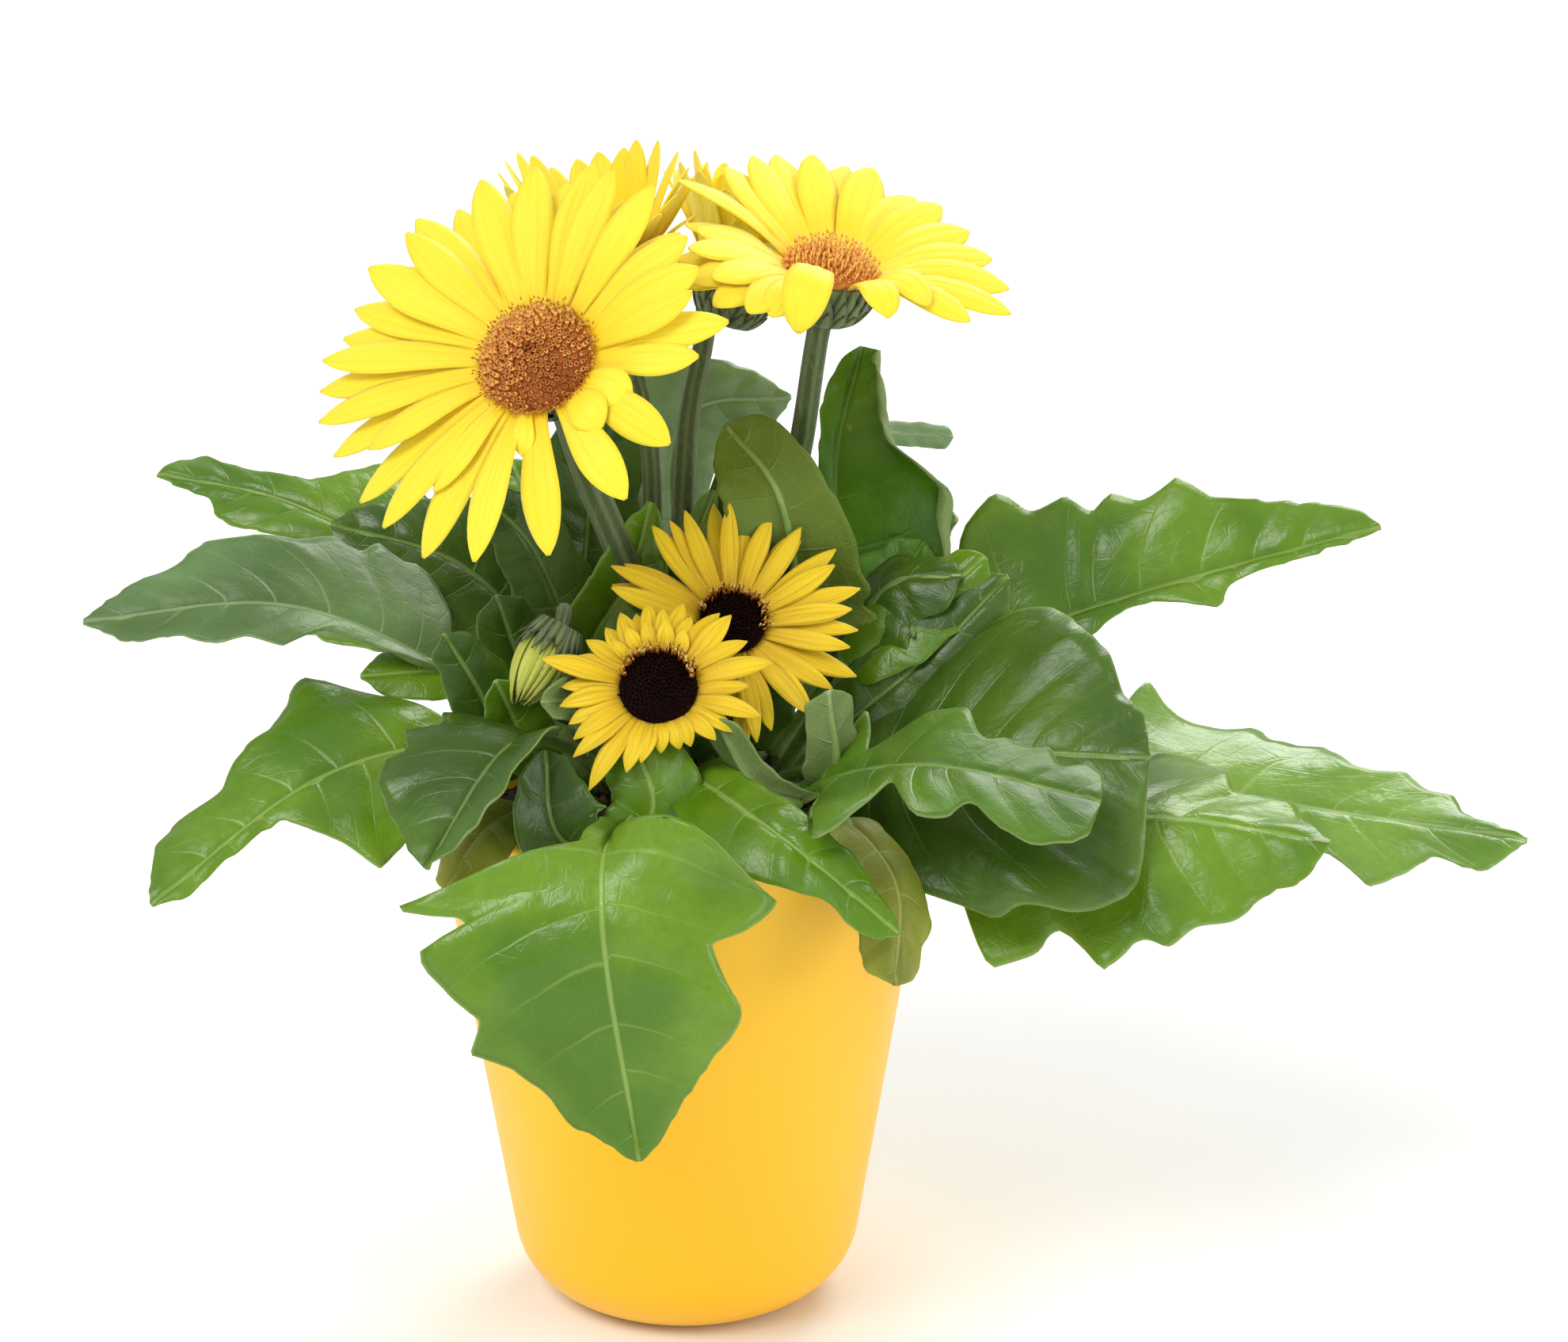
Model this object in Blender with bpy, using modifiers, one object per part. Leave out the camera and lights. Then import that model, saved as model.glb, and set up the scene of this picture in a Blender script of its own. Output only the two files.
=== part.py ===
"""A gerbera daisy in bloom in a tapered flower pot.

Each leaf, flower stalk, flower cup, ring of petals and flower eye is its own solid. They all grow
from one low crown on the soil. Frame: +Z up, the pot's flat underside at z = 0 and centred on the
origin, the side that the plant shows best towards -Y.
"""

import math

import bmesh
import bpy
from mathutils import Vector

MM = 0.001

# Pot, in metres: the wall tapers to where it would meet the floor, and the foot is rounded there.
POT_RIM_RADIUS = 0.070
POT_FOOT_RADIUS = 0.046
POT_HEIGHT = 0.150
POT_WALL = 0.0035
POT_FOOT_ROUNDING = 0.022
POT_LIP_ROUNDING = 0.0015
POT_SEGMENTS = 44
FOOT_STEPS = 6

# Soil that fills the pot, slightly domed, and the low crown that everything grows from.
SOIL_HEIGHT = 0.136
SOIL_DOME = 0.004
SOIL_CLEARANCE = 0.0004
# The dome's slope changes at this share of the radius, where it has this share of its height.
SOIL_SHOULDER = (0.6, 0.7)
CROWN_RADIUS = 0.030
CROWN_HEIGHT = 0.019
CROWN_SEGMENTS = 32
CROWN_STEPS = 6

# A touching pair of solids keeps this gap, and a stem's foot a little more from the round crown.
GAP = 0.0003
ROOT_GAP = 0.0006
# Stems leave the crown at least this far apart, which this many rounds of spreading give them.
STEM_SPACING = 0.0062
SPREADING_ROUNDS = 60

# Leaves: a blade is thinnest at its margin, and its stem is a flat strap.
BLADE_THICKNESS = 0.0020
LEAF_STEM_THICKNESS = 0.0040
LEAF_STEM_HALF_WIDTH = 0.0022
LEAF_TIP_HALF_WIDTH = 0.0007
STEM_STATIONS = 4
BLADE_COLUMNS = 4
LIMB_STEPS = 14
# The midrib adds up to this share of the difference between the stem and the blade.
MIDRIB_SHARE = 0.5
# Lobes are spaced evenly between these shares of the blade's length.
FIRST_LOBE, LAST_LOBE = 0.10, 0.92
# A notch deeper than this has a row of corners of its own.
DEEP_NOTCH = 0.09
VEIN_SWEEP = 0.20
# The margin waves up and down this many times by this share of the half width, each half of the
# blade from a phase of its own.
MARGIN_WAVES = 2
MARGIN_WAVE = 0.06
LEFT_PHASE, RIGHT_PHASE = 1.0, 2.6

# Flowers.
STALK_SIDES = 2
STALK_POINTS = 12
# A stalk is this much thicker than its radius at the crown, and thinner under the flower.
STALK_FOOT, STALK_TOP = 1.12, 0.90
PETAL_THICKNESS = 0.0011
# The hub that carries the petals is this much wider than the eye on it.
HUB_MARGIN = 0.0006
# Petals differ from their neighbours in rise, in degrees, and in length, as a share.
RISE_SPREAD, RISE_PHASE = 3.0, 1.9
LENGTH_SPREAD, LENGTH_PHASE = 0.05, 2.7
CUP_SEGMENTS = 14
EYE_SEGMENTS = 16
# The foot of a cup or a bud is this much wider than the stalk under it.
COLLAR = 0.0012
# Turned profiles from the top down, as shares of the radius and of the height.
CUP_PROFILE = ((0.0, 1.0), (0.97, 1.0), (1.0, 0.80), (0.86, 0.42))
EYE_PROFILE = ((0.0, 1.0), (0.45, 0.90), (0.80, 0.58), (0.92, 0.0), (0.0, 0.0))
BUD_PROFILE = ((0.0, 1.0), (0.45, 0.97), (0.90, 0.66), (1.0, 0.42), (0.88, 0.16))
# A petal's outline: the place along it, and the share of its space in the ring that it fills.
PETAL_OUTLINE = ((0.30, 0.96), (0.68, 0.80), (0.92, 0.50), (1.0, 0.18))

COLOURS = {
    "glaze": ((0.98, 0.60, 0.03), 0.30),
    "soil": ((0.055, 0.030, 0.018), 0.95),
    "crown": ((0.13, 0.14, 0.04), 0.80),
    "leaf": ((0.070, 0.190, 0.030), 0.42),
    "old_leaf": ((0.25, 0.26, 0.03), 0.50),
    "stalk": ((0.11, 0.17, 0.07), 0.60),
    "cup": ((0.08, 0.15, 0.06), 0.70),
    "petal": ((0.96, 0.74, 0.02), 0.50),
    "young_petal": ((0.90, 0.52, 0.02), 0.50),
    "eye": ((0.50, 0.20, 0.04), 0.80),
    "dark_eye": ((0.055, 0.012, 0.010), 0.80),
    "bud": ((0.45, 0.50, 0.08), 0.60),
}

# Faces that meet at more than this angle, in degrees, keep a sharp edge.
SHARP_ANGLE = 40

# Where a stem leaves the crown, as an angle above the horizontal on its dome.
LOW, MIDDLE, HIGH, TOP = 12, 34, 52, 72

# Each leaf, in millimetres and degrees:
#   via, tip     points that its midrib passes through, from the crown to the tip
#   tier         where its stem leaves the crown
#   stem         the share of the midrib that is bare stem
#   left, right  half widths at its lobes, from the base of the blade to near the tip, seen from
#                above and from the root
#   tilt         how far the left and the right half rise above the level, at the blade's base and
#                at its tip
#   held         the share of the blade that keeps the tilt at the base
#   settled      the share of the blade by which the tilt at the tip is reached
#   roll         how far the stem turns the blade about its midrib
#   sweep        how far the lobes point towards the tip, where it isn't VEIN_SWEEP
#   curl         how much the margins roll up, as a share of the half width
#   notch        how deep the margin is cut between two lobes
LEAVES = {
    "leaf_left_long": dict(
        via=((-52, -8, 176), (-95, -12, 199)), tip=(-162, -16, 200), tier=MIDDLE, stem=0.34,
        left=(8, 18, 22, 21, 11), right=(22, 32, 30, 25, 11), tilt=(25, 40, 4, 42),
        curl=-0.10, notch=0.05),
    "leaf_left_upper": dict(
        via=((-60, 28, 192), (-103, 47, 211)), tip=(-151, 60, 222), tier=MIDDLE, stem=0.38,
        left=(10, 22, 20, 15, 5), right=(12, 16, 15, 13, 8), tilt=(10, 35, -10, 25),
        curl=-0.15, notch=0.16),
    "leaf_left_back": dict(
        via=((-42, 20, 186), (-64, 26, 206)), tip=(-99, 30, 216), tier=HIGH, stem=0.36,
        left=(12, 24, 26, 20, 10), right=(10, 20, 20, 14, 7), tilt=(-20, 35, -30, 40),
        curl=-0.10, notch=0.06),
    "leaf_left_lower": dict(
        via=((-45, -30, 168), (-76, -48, 172)), tip=(-137, -76, 143), tier=LOW, stem=0.30,
        left=(12, 27, 17, 9, 8), right=(24, 36, 24, 12, 9), tilt=(-30, 32, -34, 30),
        curl=-0.06, notch=0.06),
    "leaf_front_left": dict(
        via=((-27, -42, 167), (-42, -66, 182)), tip=(-61, -93, 159), tier=MIDDLE, stem=0.42,
        left=(10, 18, 18, 12), right=(16, 28, 25, 12), tilt=(50, 15, 35, 10),
        curl=-0.06, notch=0.10),
    "leaf_front": dict(
        via=((-10, -56, 158), (-18, -106, 158)), tip=(-9, -113, 86), tier=LOW, stem=0.26,
        left=(20, 24, 8, 43, 31, 34, 26, 14, 7), right=(24, 27, 9, 50, 43, 40, 34, 19, 8),
        tilt=(62, 46, -4, 0), held=0.20, settled=0.38, sweep=0.03, curl=-0.05, notch=0.12),
    "leaf_front_right": dict(
        via=((12, -56, 160), (33, -88, 167)), tip=(58, -100, 143), tier=LOW, stem=0.24,
        left=(7, 14, 15, 10), right=(15, 20, 18, 9), tilt=(10, 20, -5, -15),
        curl=-0.10, notch=0.14),
    "leaf_right_light": dict(
        via=((40, -50, 166), (76, -70, 176)), tip=(111, -78, 160), tier=LOW, stem=0.20,
        left=(14, 8, 17, 17, 9), right=(16, 7, 17, 18, 9), tilt=(50, 5, 20, -14),
        curl=-0.05, notch=0.30),
    "leaf_right_broad": dict(
        via=((52, -16, 171), (92, -28, 177)), tip=(126, -33, 158), tier=MIDDLE, stem=0.26,
        left=(14, 38, 42, 34, 18), right=(15, 39, 47, 45, 26), tilt=(24, -12, 34, -38),
        held=0.1, settled=0.55, curl=-0.06, notch=0.03),
    "leaf_right_lower": dict(
        via=((57, -44, 154), (98, -70, 136)), tip=(171, -68, 150), tier=LOW, stem=0.34,
        left=(5, 11, 24, 31, 16), right=(15, 25, 24, 22, 12), tilt=(-20, -16, 24, -16),
        curl=-0.04, notch=0.16),
    "leaf_far_right": dict(
        via=((68, 14, 160), (140, 22, 146)), tip=(236, 6, 131), tier=LOW, stem=0.36,
        left=(26, 32, 24, 17, 8), right=(16, 28, 31, 28, 11), tilt=(30, -24, 24, -22),
        curl=-0.08, notch=0.12),
    "leaf_right_upper": dict(
        via=((60, 28, 171), (124, 36, 198)), tip=(196, 38, 213), tier=MIDDLE, stem=0.40,
        left=(36, 33, 29, 16, 7), right=(9, 16, 27, 14, 5), tilt=(50, 35, 45, -22),
        curl=-0.08, notch=0.16),
    "leaf_back_right": dict(
        via=((38, 36, 190), (46, 46, 226)), tip=(50, 58, 260), tier=HIGH, stem=0.30,
        left=(12, 16, 14, 10), right=(30, 42, 24, 9), tilt=(-10, -10, 0, 10),
        curl=0.10, notch=0.10),
    "leaf_mid_right": dict(
        via=((27, 0, 188), (30, -3, 221)), tip=(16, 3, 248), tier=HIGH, stem=0.32,
        left=(14, 21, 17, 8), right=(8, 12, 16, 10), tilt=(14, 14, 5, 5),
        roll=-80, curl=-0.10, notch=0.12),
    "leaf_back_centre": dict(
        via=((-2, 44, 200), (2, 60, 240)), tip=(30, 74, 250), tier=HIGH, stem=0.34,
        left=(12, 20, 18, 9), right=(12, 20, 20, 12), tilt=(0, 0, 0, -20),
        curl=-0.10, notch=0.05),
    "leaf_mid_left": dict(
        via=((-18, -15, 182), (-17, -18, 205)), tip=(-9, -17, 227), tier=HIGH, stem=0.32,
        left=(7, 9, 8, 5), right=(7, 11, 11, 7), tilt=(0, 0, 0, 0), roll=50,
        curl=0.10, notch=0.03),
    "leaf_under_left": dict(
        via=((-38, -46, 158), (-50, -62, 158)), tip=(-60, -76, 146), tier=LOW, stem=0.45,
        left=(9, 13, 12, 7), right=(9, 14, 11, 6), tilt=(10, 10, -10, -10),
        curl=-0.05, notch=0.06),
    "leaf_rim_right": dict(
        via=((42, -52, 156), (53, -69, 149)), tip=(59, -79, 120), tier=LOW, stem=0.42,
        left=(7, 10, 11, 8), right=(10, 14, 14, 9), tilt=(0, 0, -15, -25),
        curl=-0.05, notch=0.08),
    "leaf_small_upright": dict(
        via=((36, -25, 162), (45, -34, 175)), tip=(51, -41, 192), tier=MIDDLE, stem=0.35,
        left=(6, 9, 7), right=(6, 9, 7), tilt=(10, 10, 0, 0),
        curl=0.10, notch=0.05),
    "leaf_front_curl": dict(
        via=((22, -36, 164), (24, -46, 176)), tip=(14, -56, 186), tier=MIDDLE, stem=0.34,
        left=(6, 9, 7), right=(6, 9, 7), tilt=(10, 30, 0, 20),
        curl=-0.10, notch=0.15),
    "leaf_left_inner": dict(
        via=((-30, 4, 178), (-46, -2, 196)), tip=(-64, -8, 203), tier=HIGH, stem=0.36,
        left=(10, 17, 16, 9), right=(10, 16, 15, 9), tilt=(-20, 20, -30, 20),
        curl=-0.10, notch=0.05),
    "leaf_right_inner": dict(
        via=((42, 4, 182), (56, 6, 203)), tip=(76, 2, 212), tier=HIGH, stem=0.36,
        left=(7, 12, 12, 8), right=(10, 18, 18, 10), tilt=(10, -40, 10, -45),
        curl=-0.06, notch=0.12),
    "leaf_back_left": dict(
        via=((-40, 46, 178), (-70, 84, 196)), tip=(-98, 126, 192), tier=LOW, stem=0.34,
        left=(10, 22, 26, 24, 14), right=(10, 24, 28, 24, 14), tilt=(15, 15, -10, -10),
        curl=-0.10, notch=0.10),
    "leaf_back_left_low": dict(
        via=((-50, 34, 166), (-88, 62, 176)), tip=(-128, 92, 170), tier=LOW, stem=0.36,
        left=(8, 16, 18, 16, 9), right=(8, 16, 18, 16, 9), tilt=(10, 10, 5, 5),
        curl=-0.10, notch=0.14),
    "leaf_back": dict(
        via=((-14, 56, 170), (-26, 108, 180)), tip=(-34, 164, 158), tier=LOW, stem=0.34,
        left=(10, 24, 28, 24, 14), right=(10, 24, 30, 26, 14), tilt=(15, 15, -10, -10),
        curl=-0.10, notch=0.12),
    "leaf_back_middle": dict(
        via=((14, 50, 190), (24, 84, 206)), tip=(30, 132, 196), tier=MIDDLE, stem=0.34,
        left=(10, 20, 24, 20, 12), right=(10, 20, 24, 20, 12), tilt=(15, 15, -10, -10),
        curl=-0.10, notch=0.08),
    "leaf_back_right_low": dict(
        via=((34, 50, 166), (60, 98, 168)), tip=(78, 148, 146), tier=LOW, stem=0.34,
        left=(10, 22, 28, 24, 14), right=(10, 22, 28, 26, 14), tilt=(15, 15, -12, -12),
        curl=-0.10, notch=0.12),
    "leaf_back_right_wide": dict(
        via=((54, 38, 160), (92, 66, 158)), tip=(132, 96, 142), tier=LOW, stem=0.34,
        left=(10, 20, 24, 22, 12), right=(10, 18, 20, 18, 10), tilt=(12, 8, -8, -8),
        curl=-0.10, notch=0.10),
}
OLD_LEAVES = ("leaf_under_left", "leaf_rim_right")

# Each flower, in millimetres and degrees:
#   hub          centre of the top of its cup, where the petals and the eye sit
#   facing       the direction that it looks in
#   via          points that its stalk passes through
#   petals, reach, eye_radius
#   rise, droop  how steeply a petal leaves the hub, and how much it bends back by its tip
#   lean         how much steeper it is on the side that lean_to points at
#   shorter      the share by which petals on that side are shorter
#   cup          radius and height of the green cup under the petals
FLOWERS = {
    "flower_tall_left": dict(
        hub=(-36, -34, 276), facing=(-0.25, -0.76, 0.60), via=((-9, -8, 196), (-25, -9, 240)),
        tier=TOP, bearing=-130, stalk_radius=4.2, petals=22, reach=58, eye_radius=15.5, rise=16,
        droop=20, lean=13, lean_to=(1, 0, -0.6), shorter=0.08, cup=(13.5, 11), eye_height=6,
        dark=False),
    "flower_tall_back": dict(
        hub=(-20, 22, 287), facing=(-0.24, -0.04, 0.97), via=((-9, 8, 196), (-9, 14, 242)),
        tier=TOP, bearing=150, stalk_radius=2.7, petals=18, reach=44, eye_radius=10.5, rise=66,
        droop=20, lean=12, lean_to=(0.7, -0.2, 0), shorter=0, cup=(9.5, 11), eye_height=4,
        dark=False),
    "flower_tall_middle": dict(
        hub=(15, 53, 280), facing=(0.36, 0.10, 0.93), via=((-1, 20, 200), (1, 37, 243)),
        tier=TOP, bearing=90, stalk_radius=3.2, petals=18, reach=38, eye_radius=10.5, rise=58,
        droop=22, lean=18, lean_to=(-1, -0.3, 0), shorter=0, cup=(11, 12), eye_height=4,
        dark=False),
    "flower_tall_right": dict(
        hub=(40, -6, 294), facing=(0.18, -0.14, 0.97), via=((22, 13, 196), (32, 11, 241)),
        tier=TOP, bearing=35, stalk_radius=3.5, petals=20, reach=49, eye_radius=13, rise=20,
        droop=26, lean=9, lean_to=(0, 1, 0), shorter=0, cup=(12, 13), eye_height=4, dark=False),
    "flower_low_right": dict(
        hub=(17, -27, 202), facing=(0.10, -0.78, 0.62), via=((12, -8, 174),),
        tier=HIGH, bearing=-40, stalk_radius=2.6, petals=18, reach=31, eye_radius=9.5, rise=14,
        droop=12, lean=0, lean_to=(-1, 0, -0.8), shorter=0.18, cup=(8.5, 8), eye_height=3, dark=True),
    "flower_low_left": dict(
        hub=(-4, -52, 196), facing=(0.00, -0.74, 0.67), via=((-8, -32, 172),),
        tier=MIDDLE, bearing=-104, stalk_radius=2.6, petals=16, reach=29, eye_radius=11, rise=20,
        droop=24, lean=16, lean_to=(0, 0, -1), shorter=0.3, cup=(9, 9), eye_height=3, dark=True),
}

# The closed bud nods: its base, the way that it points, its length and radius in millimetres.
BUD = dict(base=(-30, -33, 204), facing=(-0.50, -0.35, -0.80), length=24, radius=8.0,
           via=((-32, -9, 180), (-31, -22, 205)), tier=HIGH, bearing=-172, stalk_radius=2.2)


def clear_scene():
    for item in list(bpy.data.objects):
        bpy.data.objects.remove(item, do_unlink=True)


def make_materials():
    materials = {}
    for name, (colour, roughness) in COLOURS.items():
        material = bpy.data.materials.new(name)
        material.use_nodes = True
        shader = material.node_tree.nodes["Principled BSDF"]
        shader.inputs["Base Color"].default_value = (*colour, 1.0)
        shader.inputs["Roughness"].default_value = roughness
        material.diffuse_color = (*colour, 1.0)
        materials[name] = material
    return materials


def millimetres(point):
    return Vector(point) * MM


def add_object(name, mesh, collection, material):
    item = bpy.data.objects.new(name, mesh)
    mesh.materials.append(material)
    collection.objects.link(item)
    return item


def turned(name, profile, steps, collection, material, origin=(0, 0, 0), axis=(0, 0, 1)):
    """A solid of revolution from a profile of (radius, height) that runs down its outer side."""
    bm = bmesh.new()
    rings = [bm.verts.new((radius, 0, height)) for radius, height in profile]
    for start, end in zip(rings, rings[1:]):
        bm.edges.new((start, end))
    mesh = bpy.data.meshes.new(name)
    bm.to_mesh(mesh)
    bm.free()
    item = add_object(name, mesh, collection, material)
    screw = item.modifiers.new("Screw", "SCREW")
    screw.steps = steps
    screw.render_steps = steps
    screw.use_merge_vertices = True
    screw.merge_threshold = 0.00001
    item.location = origin
    item.rotation_mode = "QUATERNION"
    item.rotation_quaternion = Vector(axis).to_track_quat("Z", "Y")
    return item


def arc(centre, radius, start, end, steps):
    """Points of (radius, height) along an arc, its angles in degrees."""
    angles = [math.radians(start + (end - start) * k / steps) for k in range(steps + 1)]
    return [(centre[0] + radius * math.cos(a), centre[1] + radius * math.sin(a)) for a in angles]


def wall_slope():
    """The angle of the pot's wall from the vertical, in degrees."""
    return math.degrees(math.atan2(POT_RIM_RADIUS - POT_FOOT_RADIUS, POT_HEIGHT))


def foot_flat_radius():
    """Radius of the flat underside, where the rounding of the foot ends."""
    between = math.radians(90 + wall_slope())
    return POT_FOOT_RADIUS - POT_FOOT_ROUNDING / math.tan(between / 2)


def inner_radius(height):
    """Radius of the inner face of the pot's wall at a height above the foot rounding."""
    share = height / POT_HEIGHT
    return POT_FOOT_RADIUS + (POT_RIM_RADIUS - POT_FOOT_RADIUS) * share - POT_WALL


def make_pot(collection, materials):
    slope = wall_slope()
    foot_centre = (foot_flat_radius(), POT_FOOT_ROUNDING)
    lip_centre_radius = POT_RIM_RADIUS - POT_WALL / 2
    lip_height = POT_HEIGHT - POT_LIP_ROUNDING
    inner_foot = POT_FOOT_ROUNDING - POT_WALL
    inside = [(0, POT_WALL)]
    inside += arc(foot_centre, inner_foot, -90, -slope, FOOT_STEPS)
    inside.append((inner_radius(lip_height), lip_height))
    lip = [
        (lip_centre_radius - POT_WALL / 4, POT_HEIGHT),
        (lip_centre_radius + POT_WALL / 4, POT_HEIGHT),
        (POT_RIM_RADIUS, lip_height),
    ]
    outside = arc(foot_centre, POT_FOOT_ROUNDING, -slope, -90, FOOT_STEPS)
    outside.append((0, 0))
    turned("pot", inside + lip + outside, POT_SEGMENTS, collection, materials["glaze"])


def make_soil(collection, materials):
    edge = inner_radius(SOIL_HEIGHT) - SOIL_CLEARANCE
    foot_centre = (foot_flat_radius(), POT_FOOT_ROUNDING)
    foot_rounding = POT_FOOT_ROUNDING - POT_WALL - SOIL_CLEARANCE
    shoulder = (edge * SOIL_SHOULDER[0], SOIL_HEIGHT + SOIL_DOME * SOIL_SHOULDER[1])
    profile = [(0, SOIL_HEIGHT + SOIL_DOME), shoulder, (edge, SOIL_HEIGHT)]
    profile += arc(foot_centre, foot_rounding, -wall_slope(), -90, FOOT_STEPS - 2)
    profile.append((0, POT_WALL + SOIL_CLEARANCE))
    turned("soil", profile, POT_SEGMENTS, collection, materials["soil"])


def crown_base():
    return SOIL_HEIGHT + SOIL_DOME + GAP


def make_crown(collection, materials):
    """The low dome on the soil that all stems leave: the upper half of a flattened sphere."""
    quarter = arc((0, 0), 1.0, 90, 0, CROWN_STEPS)
    profile = [(CROWN_RADIUS * across, CROWN_HEIGHT * up) for across, up in quarter[1:]]
    profile = [(0, CROWN_HEIGHT), *profile, (0, 0)]
    turned("crown", profile, CROWN_SEGMENTS, collection, materials["crown"],
           origin=(0, 0, crown_base()))


def crown_socket(bearing, tier):
    """A point just clear of the crown's dome, and the direction straight out of it there."""
    turn, lift = math.radians(bearing), math.radians(tier)
    across = Vector((math.cos(turn), math.sin(turn), 0))
    point = across * (CROWN_RADIUS * math.cos(lift)) + Vector((0, 0, CROWN_HEIGHT * math.sin(lift)))
    out = across * (math.cos(lift) / CROWN_RADIUS) + Vector((0, 0, math.sin(lift) / CROWN_HEIGHT))
    out.normalize()
    return point + Vector((0, 0, crown_base())) + out * ROOT_GAP, out


def crown_bearings():
    """The bearing of each leaf's foot: towards the leaf, then spread where stems would crowd."""
    bearings = {}
    for tier in (LOW, MIDDLE, HIGH):
        group = [name for name, leaf in LEAVES.items() if leaf["tier"] == tier]
        wanted = {n: math.degrees(math.atan2(*LEAVES[n]["via"][0][1::-1])) for n in group}
        group.sort(key=wanted.get)
        turns = [wanted[n] for n in group]
        apart = math.degrees(STEM_SPACING / (CROWN_RADIUS * math.cos(math.radians(tier))))
        for _ in range(SPREADING_ROUNDS):
            for k in range(len(turns)):
                after = (k + 1) % len(turns)
                space = turns[after] - turns[k] + (360 if after == 0 else 0)
                push = max(apart - space, 0) / 2
                turns[k] -= push
                turns[after] += push
        bearings.update(zip(group, turns))
    return bearings


class Limb:
    """A smooth line through points, leaving the first one in a given direction."""

    def __init__(self, points, start, end=None):
        ways = [start]
        for before, after in zip(points, points[2:]):
            ways.append((after - before).normalized())
        ways.append(end if end else (points[-1] - points[-2]).normalized())
        self.points = [points[0]]
        for k in range(len(points) - 1):
            handle = (points[k + 1] - points[k]).length / 3
            first, last = points[k] + ways[k] * handle, points[k + 1] - ways[k + 1] * handle
            for j in range(1, LIMB_STEPS + 1):
                t = j / LIMB_STEPS
                self.points.append(
                    points[k] * (1 - t) ** 3 + first * 3 * t * (1 - t) ** 2
                    + last * 3 * t * t * (1 - t) + points[k + 1] * t ** 3)
        self.along = [0.0]
        for a, b in zip(self.points, self.points[1:]):
            self.along.append(self.along[-1] + (b - a).length)
        self.length = self.along[-1]
        self.ways = self._ways()
        self.sides = self._sides(start)

    def _ways(self):
        last = len(self.points) - 1
        return [
            (self.points[min(k + 1, last)] - self.points[max(k - 1, 0)]).normalized()
            for k in range(last + 1)
        ]

    def _sides(self, start):
        """The direction of the left side at each point, level at the root and never twisting."""
        side = Vector((0, 0, 1)).cross(start).normalized()
        sides = []
        for way in self.ways:
            side = (side - way * side.dot(way)).normalized()
            sides.append(side)
        return sides

    def at(self, share):
        """Point, direction and left side at a share of the length."""
        target = share * self.length
        k = 0
        while k < len(self.along) - 2 and self.along[k + 1] < target:
            k += 1
        t = (target - self.along[k]) / (self.along[k + 1] - self.along[k])
        way = self.ways[k].lerp(self.ways[k + 1], t).normalized()
        side = self.sides[k].lerp(self.sides[k + 1], t)
        side = (side - way * side.dot(way)).normalized()
        return self.points[k].lerp(self.points[k + 1], t), way, side


def lobe_places(count):
    """Where the lobes are, as shares of the blade's length."""
    return [FIRST_LOBE + (LAST_LOBE - FIRST_LOBE) * k / (count - 1) for k in range(count)]


def half_width(widths, notch, t):
    """Half width of a blade at t, from 0 at its base to 1 at its tip, with a lobe at each width."""
    places = [0.0, *lobe_places(len(widths)), 1.0]
    values = [LEAF_STEM_HALF_WIDTH, *(w * MM for w in widths), LEAF_TIP_HALF_WIDTH]
    k = 0
    while k < len(places) - 2 and places[k + 1] < t:
        k += 1
    span = places[k + 1] - places[k]
    x = min(max((t - places[k]) / span, 0.0), 1.0)
    before, after = max(k - 1, 0), min(k + 2, len(places) - 1)
    start = (values[k + 1] - values[before]) / (places[k + 1] - places[before]) * span
    end = (values[after] - values[k]) / (places[after] - places[k]) * span
    smooth = (
        values[k] * (2 * x ** 3 - 3 * x ** 2 + 1) + start * (x ** 3 - 2 * x ** 2 + x)
        + values[k + 1] * (3 * x ** 2 - 2 * x ** 3) + end * (x ** 3 - x ** 2))
    cut = notch * 4 * x * (1 - x) if 0 < k < len(places) - 2 else 0.0
    return max(smooth * (1 - cut), LEAF_TIP_HALF_WIDTH)


def leaf_point(limb, leaf, share, across):
    """A point of a leaf's sheet: share runs along the midrib, across from -1 right to 1 left."""
    centre, way, side = limb.at(share)
    roll = math.radians(leaf.get("roll", 0)) * min(share / leaf["stem"], 1.0)
    side = side * math.cos(roll) + way.cross(side) * math.sin(roll)
    face = way.cross(side)
    t = (share - leaf["stem"]) / (1 - leaf["stem"])
    left = across > 0
    if t <= 0:
        return centre + side * across * LEAF_STEM_HALF_WIDTH
    width = half_width(leaf["left"] if left else leaf["right"], leaf["notch"], t)
    base, tip = (leaf["tilt"][0], leaf["tilt"][2]) if left else (leaf["tilt"][1], leaf["tilt"][3])
    held = leaf.get("held", 0.0)
    eased = min(max((t - held) / (leaf.get("settled", 1.0) - held), 0.0), 1.0)
    ease = eased * eased * (3 - 2 * eased)
    tilt = math.radians(base + (tip - base) * ease)
    outward = side if left else -side
    span = outward * math.cos(tilt) + face * math.sin(tilt)
    up = face * math.cos(tilt) - outward * math.sin(tilt)
    u = abs(across)
    phase = LEFT_PHASE if left else RIGHT_PHASE
    wave = MARGIN_WAVE * math.sin(2 * math.pi * MARGIN_WAVES * t + phase)
    reach = width * u
    bend = up * (width * u * u * (leaf["curl"] + wave))
    return centre + span * reach + bend + way * (leaf.get("sweep", VEIN_SWEEP) * reach)


def leaf_limb(leaf, bearing):
    root, out = crown_socket(bearing, leaf["tier"])
    points = [root, *(millimetres(p) for p in leaf["via"]), millimetres(leaf["tip"])]
    return Limb(points, out)


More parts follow.
